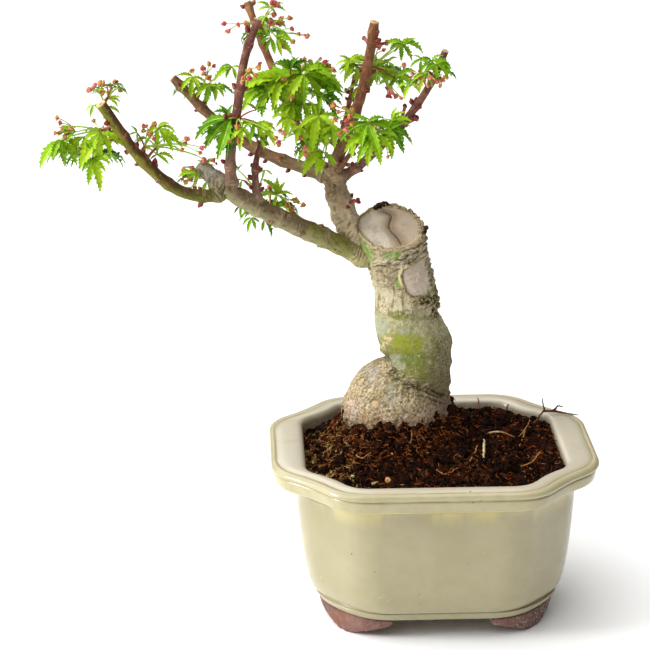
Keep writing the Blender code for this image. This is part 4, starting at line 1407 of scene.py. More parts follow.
def soilRecipe():
    peat = Recipe("darkPeat")
    place = peat.place()
    fine = peat.cloud(place, 420.0, 5.0, 0.7)
    hairs = peat.cloud(peat.vector("MULTIPLY", place, (900.0, 260.0, 500.0)), 1.0, 3.0, 0.6, 1.2)
    peat.ground(peat.band(fine, 0.38, 0.62), (0.003, 0.0015, 0.0008), (0.03, 0.012, 0.004))
    peat.coat(peat.band(peat.cloud(place, 60.0), 0.45, 0.65) * 0.6, (0.075, 0.03, 0.009))
    peat.coat(peat.band(hairs, 0.60, 0.70) * 0.8, (0.22, 0.090, 0.025))
    peat.bump(fine + hairs * 0.6, 0.0012, 0.9)
    return peat.surface(1.0, Specular_IOR_Level=0.08)


def makeSoil():
    rings = soilRings()
    low = soilShape["floorLevel"]
    below = []
    for level, inset, corner in ((low, -13.8, (16.0, -1.5)), (low + 1.4, -12.0, (16.4, -1.4)),
                                 (low + 6.0, -7.0, (17.2, -1.0)), (34.0, -1.8, (17.2, 0.8)),
                                 (48.0, -1.2, (17.2, 1.2)), (60.0, -0.6, (17.2, 1.6))):
        below.append(leaningRing(level, grown(potShape["mouthHalf"], inset), corner))
    body = below + rings
    ends = [(*soilShape["seatMiddle"], soilShape["seatLevel"]), (potShape["baseShift"], 0.0, low)]
    mound = makePiece("soilMound", flat(body) + ends, cappedFaces(len(body), len(rings[0])), [soilRecipe()])
    turnOutwards(mound.data)
    finishPiece(mound, "soil", "soil")
    return rings


soilTop = makeSoil()


class Growth(Maker):
    # a small geometry tree with named inputs
    def __init__(self, name, inputs):
        super().__init__(bpy.data.node_groups.new(name, "GeometryNodeTree"))
        sockets = self.tree.interface.new_socket
        sockets("Geometry", in_out="INPUT", socket_type="NodeSocketGeometry")
        self.keys = {}
        for label, kind, value in (*inputs, ("Material", "Material", None)):
            socket = sockets(label, in_out="INPUT", socket_type="NodeSocket" + kind)
            if value is not None:
                socket.default_value = value
            self.keys[label] = socket.identifier
        sockets("Geometry", in_out="OUTPUT", socket_type="NodeSocketGeometry")
        self.source = self.tree.nodes.new("NodeGroupInput")
        self.sink = self.tree.nodes.new("NodeGroupOutput")

    def input(self, label):
        return Wire(self, self.source.outputs[label])

    def strewn(self):
        return self.node("GeometryNodeDistributePointsOnFaces", values={
            "Mesh": self.input("Geometry"), "Density": self.input("Per Square Metre"),
            "Seed": self.input("Seed")}, output="Points")

    def chance(self, seed, low, high, kind="FLOAT_VECTOR"):
        return self.node("FunctionNodeRandomValue", {"data_type": kind},
                         {"Min": low, "Max": high, "Seed": seed}, "Value")

    def lumpyBall(self, radius, shift):
        ball = self.node("GeometryNodeMeshIcoSphere", values={"Radius": radius, "Subdivisions": 2})
        return self.node("GeometryNodeSetPosition", values={"Geometry": ball, "Offset": shift})

    def end(self, points, shape, turn, size):
        placed = self.node("GeometryNodeInstanceOnPoints", values={
            "Points": points, "Instance": shape, "Rotation": turn, "Scale": size})
        real = self.node("GeometryNodeRealizeInstances", values={0: placed})
        painted = self.node("GeometryNodeSetMaterial", values={0: real, "Material": self.input("Material")})
        self.feed(self.sink.inputs[0], painted)
        return self


def grownPiece(name, carrier, growth, values):
    # runs the tree on the carrier and keeps what it makes as a plain mesh
    modifier = carrier.modifiers.new("grow", "NODES")
    modifier.node_group = growth.tree
    for label, value in values.items():
        modifier[growth.keys[label]] = value
    whole = carrier.evaluated_get(bpy.context.evaluated_depsgraph_get())
    mesh = bpy.data.meshes.new_from_object(whole)
    carrier.modifiers.remove(modifier)
    mesh.name = name
    piece = bpy.data.objects.new(name, mesh)
    bpy.context.scene.collection.objects.link(piece)
    bpy.data.objects.remove(carrier, do_unlink=True)
    return piece


strewInputs = (("Per Square Metre", "Float", 50000.0), ("Smallest", "Float", 0.4), ("Largest", "Float", 1.2),
               ("Seed", "Int", 1))
fullTurn = (6.3, 6.3, 6.3)


def crumbTree():
    # lumpy grains strewn over a surface
    crumbs = Growth("soilCrumbs", strewInputs)
    rough = crumbs.node("ShaderNodeTexNoise", values={"Scale": 1400.0, "Detail": 1.0}, output="Color")
    shift = crumbs.vector("SCALE", crumbs.vector("SUBTRACT", rough, (0.5, 0.5, 0.5)), 0.0007)
    low, high = (crumbs.node("ShaderNodeCombineXYZ", values=dict.fromkeys(range(3), crumbs.input(label)))
                 for label in ("Smallest", "Largest"))
    seed = crumbs.input("Seed")
    return crumbs.end(crumbs.strewn(), crumbs.lumpyBall(0.0005, shift),
                      crumbs.chance(seed, (0.0, 0.0, 0.0), fullTurn), crumbs.chance(seed, low, high))


def fibreTree():
    # short bent hairs lying about on a surface
    fibres = Growth("soilFibres", strewInputs)
    bend = fibres.node("GeometryNodeCurvePrimitiveBezierSegment", values={
        "Resolution": 7, "Start": (-0.0019, 0.0, 0.0), "Start Handle": (-0.0008, 0.0024, 0.0008),
        "End Handle": (0.0004, -0.0021, 0.0005), "End": (0.0017, 0.0003, 0.0)})
    outline = fibres.node("GeometryNodeCurvePrimitiveCircle", values={"Resolution": 3, "Radius": 0.0001})
    hair = fibres.node("GeometryNodeCurveToMesh", values={"Curve": bend, "Profile Curve": outline})
    seed = fibres.input("Seed")
    return fibres.end(fibres.strewn(), hair, fibres.chance(seed, (-0.6, -0.6, 0.0), (0.6, 0.6, 6.3)),
                      fibres.chance(seed, fibres.input("Smallest"), fibres.input("Largest"), "FLOAT"))


def plainRecipe(name, dark, light, scale, roughness, shine=0.3):
    # a two-tone grainy finish for small things
    plain = Recipe(name)
    fine = plain.cloud(plain.place(), scale, 3.0, 0.6)
    plain.bump(fine, 0.0002, 0.5)
    plain.ground(plain.band(fine, 0.35, 0.65), paint(dark), paint(light))
    return plain.surface(roughness, Specular_IOR_Level=shine)


def carrierOf(rings, keep):
    # a loose copy of the mound's top where keep(x, y) holds
    columns = len(rings[0])
    points = flat(rings)
    faces = []
    for face in gridFaces(len(rings), columns):
        x = sum(points[i][0] for i in face) / 4
        y = sum(points[i][1] for i in face) / 4
        if keep(x, y):
            faces.append(face[::-1])
    return makePiece("strewnGround", points, faces, [])


litter = {
    # name: tree, per square metre, smallest, largest, tones, where it lies
    "blackClods": ("crumbs", 16000.0, 2.4, 5.2, ("050201", "220e06"), "clods"),
    "moundClods": ("crumbs", 42000.0, 1.8, 4.6, ("070302", "36190b"), "mound"),
    "moundFibres": ("fibres", 460000.0, 0.4, 1.5, ("46200d", "a66634"), "mound"),
    "blackCrumbs": ("crumbs", 130000.0, 0.8, 3.0, ("040201", "160a05"), "all"),
    "darkCrumbs": ("crumbs", 150000.0, 0.5, 2.4, ("0b0402", "2e1308"), "all"),
    "brownCrumbs": ("crumbs", 100000.0, 0.3, 1.4, ("2a1207", "6a3416"), "all"),
    "tanBits": ("crumbs", 9000.0, 0.4, 1.2, ("966230", "c4965a"), "all"),
    "mossBits": ("crumbs", 60000.0, 0.8, 2.1, ("5c5824", "aa9c60"), "left"),
    "goldenFibres": ("fibres", 300000.0, 0.5, 1.3, ("70461e", "be8e4e"), "left"),
    "rustyFibres": ("fibres", 230000.0, 0.4, 1.4, ("50210a", "a65622"), "clods"),
    "darkFibres": ("fibres", 240000.0, 0.5, 1.5, ("180905", "542610"), "all"),
    "paleFibres": ("fibres", 10000.0, 0.35, 1.2, ("966a3c", "cca66e"), "all"),
}


def makeLitter(rings):
    trees = {"crumbs": crumbTree(), "fibres": fibreTree()}
    where = {
        "all": lambda x, y: True,
        "left": lambda x, y: x < -30 and y < 22,
        "mound": lambda x, y: hypot(x + 14.0, y - 8.5) < 27.0,
        "clods": lambda x, y: noise.noise(Vector((x, y, 5)) * 0.16) > -0.05,
    }
    for number, (name, (tree, share, smallest, largest, (dark, light), place)) in enumerate(litter.items()):
        piece = grownPiece(name, carrierOf(rings[1:-14], where[place]), trees[tree], {
            "Per Square Metre": share, "Smallest": smallest, "Largest": largest, "Seed": 11 + number,
            "Material": plainRecipe(name, dark, light, 900.0, 1.0, shine=0.08)})
        finishPiece(piece, "soil")


makeLitter(soilTop)
print("soil made")


# Foliage: young lobed leaves in pairs on thin shoots, with hanging clusters of small round blossoms

leafShape = {
    "pairs": 8,                # teeth along each side of a lobe
    "width": 0.122,            # half a lobe's width against its length
    "tooth": 0.36,             # depth of the teeth against half the width
    "rib": 0.020,              # half the rib's width against the lobe's length
    "fold": 0.72,              # how far the two halves fold up along the rib
    "arch": 0.16,
    # lobes of a whole leaf: turn from the middle lobe in degrees, length against the middle one
    "lobes": ((0, 1.0), (30, 0.93), (-30, 0.93), (62, 0.76), (-62, 0.76), (100, 0.46), (-100, 0.46)),
    "smallLobes": ((0, 1.0), (38, 0.86), (-38, 0.86), (80, 0.55), (-80, 0.55)),
}
leafTones = {
    # name: shaded tone, lit tone
    "leafBright": ("84ac06", "aece1e"),
    "leafFresh": ("6a9a04", "92bc16"),
    "leafMid": ("4a8004", "70a20e"),
    "leafDeep": ("285a04", "487e0a"),
    "leafRib": ("92ba28", "b8d454"),
}
leafSlots = {name: k for k, name in enumerate(leafTones)}


def addLobe(heap, base, tip, up, tone, chance, wide):
    # one toothed finger of a leaf: it arches out from the base, then hangs, folded along its rib
    shape = leafShape
    line = tip - base
    length = line.length
    along = line.normalized()
    skyward = Vector((0, 0, 1)) - along * along.z
    arch = (skyward * 0.8 + (up - along * up.dot(along)) * 0.5) * shape["arch"] * length
    arch *= chance.uniform(0.7, 1.3)
    sway = along.cross(up) * chance.uniform(-0.09, 0.09) * length
    first = base + line * 0.30 + arch * 1.5 + sway
    second = base + line * 0.78 + arch * 0.9 + sway * 0.4
    twist = chance.uniform(-0.4, 0.4)
    phase = chance.uniform(0, 6.3)
    steps = shape["pairs"] * 2 + 1
    middles = []
    for k in range(steps + 1):
        t = k / steps
        bowed = first * 3 * t * (1 - t) ** 2 + second * 3 * t * t * (1 - t)
        middles.append(base * (1 - t) ** 3 + bowed + tip * t ** 3)
    start = len(heap.points)
    for k, middle in enumerate(middles):
        t = k / steps
        way = (middles[min(k + 1, steps)] - middles[max(k - 1, 0)]).normalized()
        across = way.cross(up)
        if across.length < 0.08:
            across = way.cross(Vector((0.3, 1, 0.2)))
        across.normalize()
        over = across.cross(way)
        profile = sin(pi * t ** 0.72) ** 1.25 * 1.06 if 0 < t < 0.99 else 0.0
        profile = max(profile, 0.34 * (1 - t / 0.3)) if t < 0.3 else profile
        half = length * shape["width"] * wide * profile * (1 + shape["tooth"] * (0.6 if k % 2 else -0.7))
        turn = twist * t
        sideways = across * cos(turn) + over * sin(turn)
        raised = over * cos(turn) - across * sin(turn)
        crinkle = 0.42 * half * sin(phase + k * 2.1)
        rib = length * shape["rib"] * (1 - 0.7 * t)
        keel = middle - raised * rib * 0.5
        edge = middle + raised * (half * shape["fold"] * (0.6 + 0.4 * t))
        edge += way * (length * 0.040 if k % 2 else 0.0)
        inner = sideways * min(rib, half * 0.5)
        heap.points += [edge - sideways * half + raised * crinkle, keel - inner, keel + inner,
                        edge + sideways * half - raised * crinkle * 0.6]
    for a in range(start, start + steps * 4, 4):
        for b, slot in ((a, tone), (a + 1, leafSlots["leafRib"]), (a + 2, tone)):
            heap.face(slot, b, b + 1, b + 5, b + 4)


def addLeaf(heap, base, tips, up, tone, chance):
    # base is where the stalk ends; tips are the ends of its lobes
    longest = max((t - base).length for t in tips)
    for tip in tips:
        length = (tip - base).length
        wide = 1.0 if length > longest * 0.6 else 1.15
        shade = tone
        if chance.random() < 0.30:
            shade = min(3, max(0, tone + chance.choice((-1, 1))))
        addLobe(heap, base + up * chance.uniform(-0.12, 0.12), tip, up, shade, chance, wide)


def palmTips(base, aim, up, chance, lobes):
    # tips of a whole leaf whose middle lobe reaches to aim
    line = aim - base
    length = line.length
    along = line.normalized()
    across = along.cross(up).normalized()
    tips = []
    for turn, share in lobes:
        angle = radians(turn + chance.uniform(-6, 6))
        reach = length * share * chance.uniform(0.92, 1.06)
        way = along * cos(angle) + across * sin(angle)
        sag = Vector((0, 0, -0.22)) * reach * abs(sin(angle))
        tips.append(base + way * reach + sag + up * chance.uniform(-0.08, 0.08) * reach)
    return tips


def addTube(heap, route, radii, sides, slot):
    for (point, _, side, lift), radius in zip(routeFrames(route), radii):
        for k in range(sides):
            angle = 2 * pi * k / sides
            heap.points.append(point + (side * cos(angle) + lift * sin(angle)) * radius)
    start = heap.rings(len(route), sides, slot)
    heap.face(slot, *range(start + sides - 1, start - 1, -1))
    heap.face(slot, *range(len(heap.points) - sides, len(heap.points)))


def stalkRoute(start, end, rise, steps=6):
    # a stalk from start to end that bows by rise
    return bowedLine(start, (start + end) / 2 + Vector((0, 0, 1)) * rise, end, steps)


budRings = ((0.0, 0.22), (0.12, 0.32), (0.35, 0.47), (0.6, 0.42), (0.85, 0.20))
budLooks = {
    # name: shaded and lit tones, scale of the grain, roughness
    "budRed": ("461012", "8a2a24", 1200.0, 0.45),
    "budBrown": ("6e3a24", "a0623a", 1200.0, 0.5),
    "knobBrown": ("5c4832", "9e8662", 900.0, 0.85),
}
knobRings = ((0.0, 0.72), (0.2, 0.76), (0.42, 0.66), (0.6, 0.46), (0.74, 0.20))


def addBud(heap, base, way, length, slot, rings=budRings, sides=7):
    # a pointed bud of a few faces, with a waist at its foot
    way = way.normalized()
    side = way.cross(Vector((0.2, 0.1, 1))).normalized()
    lift = way.cross(side)
    for share, radius in rings:
        for k in range(sides):
            angle = 2 * pi * k / sides + share
            out = (side * cos(angle) + lift * sin(angle)) * radius * length * 0.8
            heap.points.append(base + way * length * share + out)
    start = heap.rings(len(rings), sides, slot)
    tip = len(heap.points)
    heap.points += [base + way * length * (rings[-1][0] + 0.15), base]
    for k in range(sides):
        d = (k + 1) % sides
        heap.face(slot, tip - sides + k, tip - sides + d, tip)
        heap.face(slot, start + d, start + k, tip + 1)


sprays = {
    # name: limb, packed mass that gives its depth, how far in front of the mass's middle, then pixels in
    # pairs of x and y: for each leaf its centre and the ends of its lobes, and last the blossoms
    "outerLeft": ("bough_outer_left", "outer_left_foliage", -3.0, (
        (101, 133, 79, 170, 110, 158, 123, 147, 84, 142, 98, 164),
        (60, 140, 40, 169, 52, 160, 65, 167, 77, 166, 78, 150),
        (92, 158, 100, 193, 106, 173, 88, 186, 82, 172, 112, 165),
        (84, 137, 66, 152, 72, 158, 92, 152, 84, 158), (76, 132, 58, 128, 56, 139, 66, 145)),
        (57, 118, 55, 133, 65, 136, 69, 133, 71, 128, 63, 128, 60, 123)),
    "leftTip": ("bough_outer_left", "left_tip_foliage", -1.0, (
        (108, 99, 121, 103, 118, 108, 112, 96, 122, 98), (94, 105, 86, 112, 90, 118, 100, 112),
        (106, 108, 114, 120, 104, 121, 120, 114)),
        (89, 90, 95, 85, 100, 83, 103, 84, 102, 93, 93, 88)),
    "leftInner": ("bough_outer_left", "left_inner_foliage", -1.0, (
        (158, 128, 182, 148, 173, 152, 157, 150, 146, 138, 176, 134, 170, 124),
        (157, 155, 174, 161, 169, 165, 150, 160, 162, 146), (137, 133, 130, 126, 128, 136, 138, 142)),
        (150, 134, 154, 139, 144, 152, 187, 139, 185, 144, 200, 153, 202, 148, 204, 160, 182, 150)),
    "upperLeft": ("bough_upper_left", "upper_left_foliage", -4.0, (
        (193, 77, 176, 76, 181, 92, 191, 99, 199, 92, 206, 84),
        (210, 84, 205, 107, 196, 98, 216, 99, 222, 92),
        (232, 67, 214, 82, 226, 79, 236, 80, 242, 70, 219, 70), (216, 86, 224, 98, 215, 102, 230, 90)),
        (209, 64, 203, 68, 209, 78, 214, 66, 204, 74)),
    "middleUpper": ("shoot_left_upright", "middle_left_foliage", 0.0, (
        (250, 73, 240, 84, 248, 88, 258, 80),),
        (250, 71, 259, 68, 244, 78, 249, 79, 242, 83, 256, 75)),
    "middleLeft": ("shoot_left_upright", "middle_left_foliage", -4.0, (
        (230, 119, 195, 141, 205, 150, 217, 161, 227, 158, 235, 150, 202, 125),
        (256, 123, 275, 147, 264, 150, 252, 139, 276, 131, 243, 131),
        (243, 128, 230, 142, 240, 152, 251, 146), (256, 110, 245, 104, 262, 101, 268, 110),
        (228, 116, 212, 113, 218, 105, 234, 104)),
        (237, 127, 239, 140, 226, 131, 230, 141, 279, 143, 283, 133, 276, 138)),
    "stub": ("stub_left", "stub_foliage", -2.0, (
        (198, 174, 178, 178, 184, 186, 194, 187, 182, 168), (207, 181, 201, 197, 211, 196, 218, 186),
        (206, 168, 196, 160, 212, 157, 216, 166)),
        (192, 168, 204, 160, 213, 160, 201, 166, 212, 172, 191, 180, 186, 182, 190, 189, 195, 188)),
    "hanging": ("bough_lower_left", "hanging_foliage", -4.0, (
        (277, 195, 294, 196, 286, 181, 277, 176, 260, 179, 273, 208, 286, 209, 262, 197),
        (242, 180, 232, 186, 240, 192, 250, 188), (238, 170, 228, 174, 232, 164, 244, 164),
        (265, 170, 256, 176, 262, 180, 273, 176)),
        (298, 202, 303, 205, 295, 200, 291, 210, 288, 205)),
    "hangingLow": ("bough_lower_left", "hanging_foliage", -2.0, (
        (252, 218, 248, 234, 256, 230, 243, 226, 260, 223), (264, 220, 271, 238, 262, 232, 275, 229),
        (240, 206, 234, 214, 240, 218, 246, 213)),
        ()),
    "top": ("shoot_left_upright", "top_foliage", -5.0, (
        (270, 8, 256, 3, 258, 12, 284, 4, 286, 12, 276, 14), (264, 16, 261, 33, 256, 25, 269, 27),
        (268, 36, 248, 33, 250, 41, 260, 44, 270, 25), (277, 38, 292, 56, 282, 57, 294, 44, 288, 34),
        (271, 38, 266, 52, 275, 55, 262, 47)),
        (224, 24, 228, 31, 246, 23, 248, 27, 274, 15, 271, 23, 277, 5, 273, 3, 292, 29, 307, 36, 293, 42,
         282, 46, 286, 47, 299, 34, 238, 25)),
    "centre": ("shoot_back_upright", "centre_foliage", -12.0, (
        (305, 74, 343, 98, 334, 108, 319, 112, 304, 106, 284, 104, 338, 84, 328, 70),
        (280, 80, 238, 96, 242, 112, 258, 114, 272, 112, 247, 84),
        (292, 104, 282, 124, 292, 130, 302, 124, 276, 114), (313, 104, 305, 122, 316, 126, 326, 118),
        (290, 70, 272, 64, 284, 58, 300, 57, 310, 62), (318, 80, 336, 72, 330, 60, 344, 90),
        (300, 72, 241, 99, 262, 104, 282, 101, 297, 118, 275, 62, 291, 56, 341, 92, 338, 73),
        (303, 103, 272, 119, 281, 131, 312, 134, 328, 126, 294, 126),
        (270, 92, 250, 104, 262, 118, 276, 116, 246, 92, 284, 104),
        (322, 96, 342, 106, 336, 118, 318, 116, 346, 94)),
        (301, 91, 292, 97, 284, 79, 320, 59, 325, 62, 329, 66, 333, 70, 305, 96)),
    "lowerCentre": ("shoot_thin", "lower_centre_foliage", -8.0, (
        (319, 116, 312, 152, 304, 142, 298, 130, 328, 146, 338, 134, 342, 120),
        (323, 152, 297, 163, 302, 177, 316, 176, 334, 168, 308, 156),
        (331, 126, 320, 140, 334, 150, 346, 142), (300, 126, 288, 138, 296, 146, 306, 142),
        (312, 122, 309, 149, 326, 147, 300, 136, 334, 132, 318, 138),
        (290, 118, 276, 128, 284, 142, 296, 138, 272, 120),
        (325, 158, 302, 168, 321, 174, 336, 164, 312, 160)),
        (305, 148, 306, 154, 280, 131, 284, 133, 278, 144, 300, 138)),
    "rightUpper": ("shoot_right_upright", "right_upper_foliage", -8.0, (
        (404, 45, 386, 42, 394, 53, 408, 56, 420, 48, 416, 38),
        (399, 74, 382, 80, 390, 90, 402, 92, 412, 84, 416, 72),
        (356, 66, 338, 72, 344, 84, 356, 86, 366, 78, 344, 60),
        (388, 62, 376, 70, 384, 78, 396, 72, 398, 58), (360, 86, 346, 92, 352, 102, 364, 104, 370, 94),
        (401, 43, 423, 54, 401, 62, 390, 52, 412, 62, 386, 46, 416, 42),
        (377, 68, 352, 56, 340, 68, 355, 75, 368, 92, 388, 84, 370, 52, 392, 60),
        (395, 79, 388, 98, 404, 96, 417, 72, 378, 86, 412, 86),
        (350, 62, 338, 56, 336, 66, 346, 76, 360, 54)),
        (387, 88, 391, 92, 396, 96, 401, 98, 389, 96, 384, 50, 379, 47)),
    "rightEnd": ("bough_right", "right_end_foliage", -3.0, (
        (436, 64, 452, 70, 448, 80, 436, 80, 424, 72, 448, 60),
        (421, 60, 410, 68, 420, 74, 432, 70, 412, 56), (425, 74, 412, 82, 420, 92, 432, 88),
        (432, 61, 417, 60, 420, 74, 436, 76, 451, 66, 452, 77, 444, 56),
        (410, 84, 398, 76, 404, 101, 420, 94, 396, 90)),
        (418, 77, 424, 80, 430, 78, 437, 82, 443, 80, 446, 77, 440, 86, 428, 86, 420, 84)),
    "rightLower": ("shoot_front_right", "right_lower_foliage", -4.0, (
        (375, 134, 357, 164, 368, 168, 381, 166, 344, 153, 394, 154, 398, 138),
        (386, 128, 404, 142, 411, 128, 400, 118, 392, 144),
        (362, 128, 346, 134, 350, 146, 362, 150, 350, 122), (392, 120, 406, 112, 398, 106, 412, 122),
        (368, 123, 340, 142, 352, 160, 380, 157, 401, 139, 349, 119, 386, 119, 362, 148),
        (390, 130, 411, 143, 404, 154, 392, 160, 405, 122, 380, 144)),
        (333, 106, 338, 112, 344, 108, 350, 116, 352, 124, 346, 130, 340, 134, 335, 120, 388, 157, 352, 110,
         347, 121)),
}
crownSizes = {
    "extraPerMass": 8,
    "leafLength": (8.5, 13.5),
    "blossom": 1.0,            # radius
    "stalk": 0.32,
    "pedicel": 0.20,
    "pixel": 0.37,             # how much one pixel spans there
}
stalkTones = {
    "stalkGreen": ("8cac2c", "b0c850"),
    "stalkRed": ("783224", "a05436"),
}
stalkSlots = {name: k for k, name in enumerate(stalkTones)}


def massOf(node):
    low, high = (Vector(corner) * 1000 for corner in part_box(node))
    middle = (low + high) / 2
    return Vector((middle.x - potX, middle.y, middle.z)), (high - low) / 2


class Crown:
    # gathers every small piece of the crown, each kind apart
    def __init__(self, chance):
        self.leaves, self.stalks, self.buds = Heap(), Heap(), Heap()
        self.blossoms = []      # place and size
        self.chance = chance
        self.vary = chance.uniform

    def vector(self, *reaches):
        return Vector([self.vary(-reach, reach) for reach in reaches])

    def stalk(self, route, thick, thinner, sides, slot):
        radii = [thick - thinner * k for k in range(len(route))]
        addTube(self.stalks, route, radii, sides, stalkSlots[slot])

    def twig(self, limb, first, last, aim, share, shift, rise, steps):
        # where the spray leaves its limb, and a twig part of the way from there to its middle
        run = max(limb.bare + first, min(limb.total - 0.8, limb.nearestRun(aim + Vector((0, 0, last)))))
        root = limb.at(run)[0]
        return root, stalkRoute(root, root.lerp(aim, share) + shift, rise, steps)

    def spray(self, name):
        limbName, mass, forward, leaves, flowers = sprays[name]
        depth = massOf(mass)[0].y + forward
        leaves = [grouped(leaf, 2) for leaf in leaves]
        hubs = [atPixel(*leaf[0], depth) for leaf in leaves]
        centre = sum(hubs, Vector()) / len(hubs)
        root, twig = self.twig(limbs[limbName], 2.0, -2, centre, 0.45, Vector((0, 1.0, 0.6)), 1.0, 8)
        self.stalk(twig, 0.75, 0.04, 8, "stalkRed")
        for (x, y), *tips in leaves:
            deep = depth + self.vary(-2.2, 2.2)
            hub = atPixel(x, y, deep)
            ends = []
            for tx, ty in tips:
                reach = hypot(tx - x, ty - y) * crownSizes["pixel"]
                ends.append(atPixel(tx, ty, deep + reach * self.vary(-0.42, 0.34)))
            up = Vector((self.vary(-0.3, 0.3), -0.75, 0.85)).normalized()
            # leaves in front take mostly the brighter greens
            tone = self.chance.choice((0, 0, 0, 0, 1, 1, 1, 2))
            self.leaf(hub, ends, up, tone, twig[-1] if (hub - twig[-1]).length < 20 else root)
        places = [atPixel(x, y, depth - 2.0 + self.vary(-2.0, 2.0)) for x, y in grouped(flowers, 2)]
        self.cluster(places, twig[-1])

    def leaf(self, hub, tips, up, tone, source):
        addLeaf(self.leaves, hub, tips, up, tone, self.chance)
        slot = "stalkGreen" if self.chance.random() < 0.7 else "stalkRed"
        thick = crownSizes["stalk"]
        self.stalk(stalkRoute(source, hub, 1.2), thick * 1.15, thick * 0.06, 6, slot)

    def cluster(self, places, source):
        # blossoms near each other share one hanging stalk, which forks close to them
        left = list(places)
        while left:
            seed = left.pop(0)
            group = [seed] + [p for p in left if (p - seed).length < 7.5]
            left = [p for p in left if (p - seed).length >= 7.5]
            middle = sum(group, Vector()) / len(group)
            fork = middle.lerp(source, min(0.45, 3.2 / max(1.0, (middle - source).length)))
            fork += Vector((self.vary(-0.6, 0.6), 0.0, 0.9))
            stem = stalkRoute(source, fork, self.vary(0.8, 2.2), 7)
            self.stalk(stem, crownSizes["stalk"] * 0.95, 0, 6, "stalkGreen")
            for place in group:
                self.blossom(place, stem[self.chance.choice((-1, -1, -2))])

    def blossom(self, place, source):
        route = stalkRoute(source, place, self.vary(0.2, 0.9), 5)
        thin = crownSizes["pedicel"]
        self.stalk(route, thin, 0, 5, "stalkGreen")
        self.blossoms.append((place, crownSizes["blossom"] * self.vary(0.75, 1.2)))
        if self.chance.random() < 0.22:
            # a smaller one beside it on its own short stalk
            near = place + self.vector(1.6, 1.6, 1.6)
            self.stalk([route[-3], (route[-3] + near) / 2, near], thin, 0, 5, "stalkRed")
            self.blossoms.append((near, crownSizes["blossom"] * self.vary(0.45, 0.75)))

    def fill(self, node, limbName):
        # leaves of the side that is turned away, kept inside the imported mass
        vary = self.vary
        middle, half = massOf(node)
        twig = self.twig(limbs[limbName], 1.5, 0, middle, 0.85, Vector(), 0.8, 7)[1]
        self.stalk(twig, 0.65, 0.03, 7, "stalkRed")
        count = max(4, round(crownSizes["extraPerMass"] * (half.x * half.z) / 190))
        for k in range(count):
            turn = pi * (0.04 + 0.92 * (k + vary(0.2, 0.8)) / count)
            rise = vary(-0.55, 0.85)
            out = Vector((cos(turn) * cos(rise), sin(turn) * cos(rise), sin(rise)))
            hub = middle + out * half * vary(0.1, 0.62)
            foot = min(twig[2:], key=lambda p: (p - hub).length)
            reach = min(vary(*crownSizes["leafLength"]), 0.62 * min(half.x, half.z) + 2.5)
            way = Vector((out.x, out.y * 0.9, out.z * 0.4 - 0.55)).normalized()
            up = (Vector((0, 0, 1)) + out * 0.8).normalized()
            lobes = leafShape["lobes"] if reach > 9 else leafShape["smallLobes"]
            tips = palmTips(hub, hub + way * reach, up, self.chance, lobes)
            tips = [within(tip, middle, half) for tip in tips]
            # the leaves behind take the darker greens, as painted shade inside the crown
            self.leaf(hub, tips, up, self.chance.choice((1, 1, 2, 2, 3, 3)), foot)
        seed = Vector((vary(-0.5, 0.5), vary(0.5, 0.85), vary(-0.1, 0.7)))
        self.cluster([within(middle + (seed + self.vector(0.28, 0.28, 0.28)) * half, middle, half)
                      for _ in range(self.chance.randint(3, 6))], twig[-1])

    def nodeBuds(self):
        # dark red buds in pairs at the ring scars, each pair turned from the last
        for name, limb in limbs.items():
            if name == "stub_left":
                continue
            for k, run in enumerate(limb.nodes):
                if name == "leader" and self.chance.random() < 0.55:
                    continue
                point, way, side, lift = limb.at(run)
                radius = limb.radiusAt(run)
                turn = (k % 2) * pi / 2 + self.vary(-0.3, 0.3) + 0.4
                for half in (0, pi):
                    if self.chance.random() < 0.18:
                        continue
                    out = side * cos(turn + half) + lift * sin(turn + half)
                    if name != "bough_lower_left":
                        size = self.vary(1.7, 2.6)
                        slot = self.chance.choice((0, 0, 1))
                        addBud(self.buds, point + out * radius, out * 0.8 + way * 0.8, size, slot)
                    elif out.y > -0.2:
                        addBud(self.buds, point + out * radius * 0.7, out, self.vary(1.8, 2.8), 2, knobRings)

    def largeBuds(self):
        for x, y, length in grouped(budPlaces, 3):
            base, out, way = onLimb(x, y)
            addBud(self.buds, base, out * 0.9 + way * 0.7, length, 0)
        for x, y, length in grouped(knobPlaces, 3):
            base, out, way = onLimb(x, y)
            addBud(self.buds, base - out * length * 0.2, out, length * 1.1, 2, knobRings)

    def spurs(self):
        # short side twigs that end in a pale cut or a pair of buds
        for limbName, x, y, depth in spurList:
            limb = limbs[limbName]
            tip = atPixel(x, y, limb.at(0)[0].y + depth)
            route = stalkRoute(limb.at(limb.nearestRun(tip))[0], tip, 0.6, 7)
            self.stalk(route, 0.95, 0.05, 8, "stalkRed")
            way = (route[-1] - route[-2]).normalized()
            for sideways in (-0.7, 0.7):
                out = way + way.cross(Vector((0, 1, 0))) * sideways
                addBud(self.buds, tip - way * 0.3, out, self.vary(1.8, 2.6), 0)


def within(point, middle, half):
    away = point - middle
    size = sqrt(sum((a / h) ** 2 for a, h in zip(away, half)))
    return middle + away / max(1.0, size / 0.98)


spurList = (
    # limb, tip pixel, depth against the limb
    ("bough_outer_left", 127, 152, -2.0), ("bough_outer_left", 137, 146, 1.0),
    ("bough_outer_left", 156, 166, 1.5), ("shoot_right_upright", 386, 43, -1.0),
    ("shoot_right_upright", 364.5, 38.5, -0.5),
    ("bough_right", 405, 107, -1.5), ("bough_right", 416, 119, -1.0), ("shoot_mid_left", 253, 178, -1.5),
    ("shoot_left_upright", 227, 116, -1.5), ("leader", 357, 201, -1.5), ("bough_lower_left", 290, 205, -1.0),
)


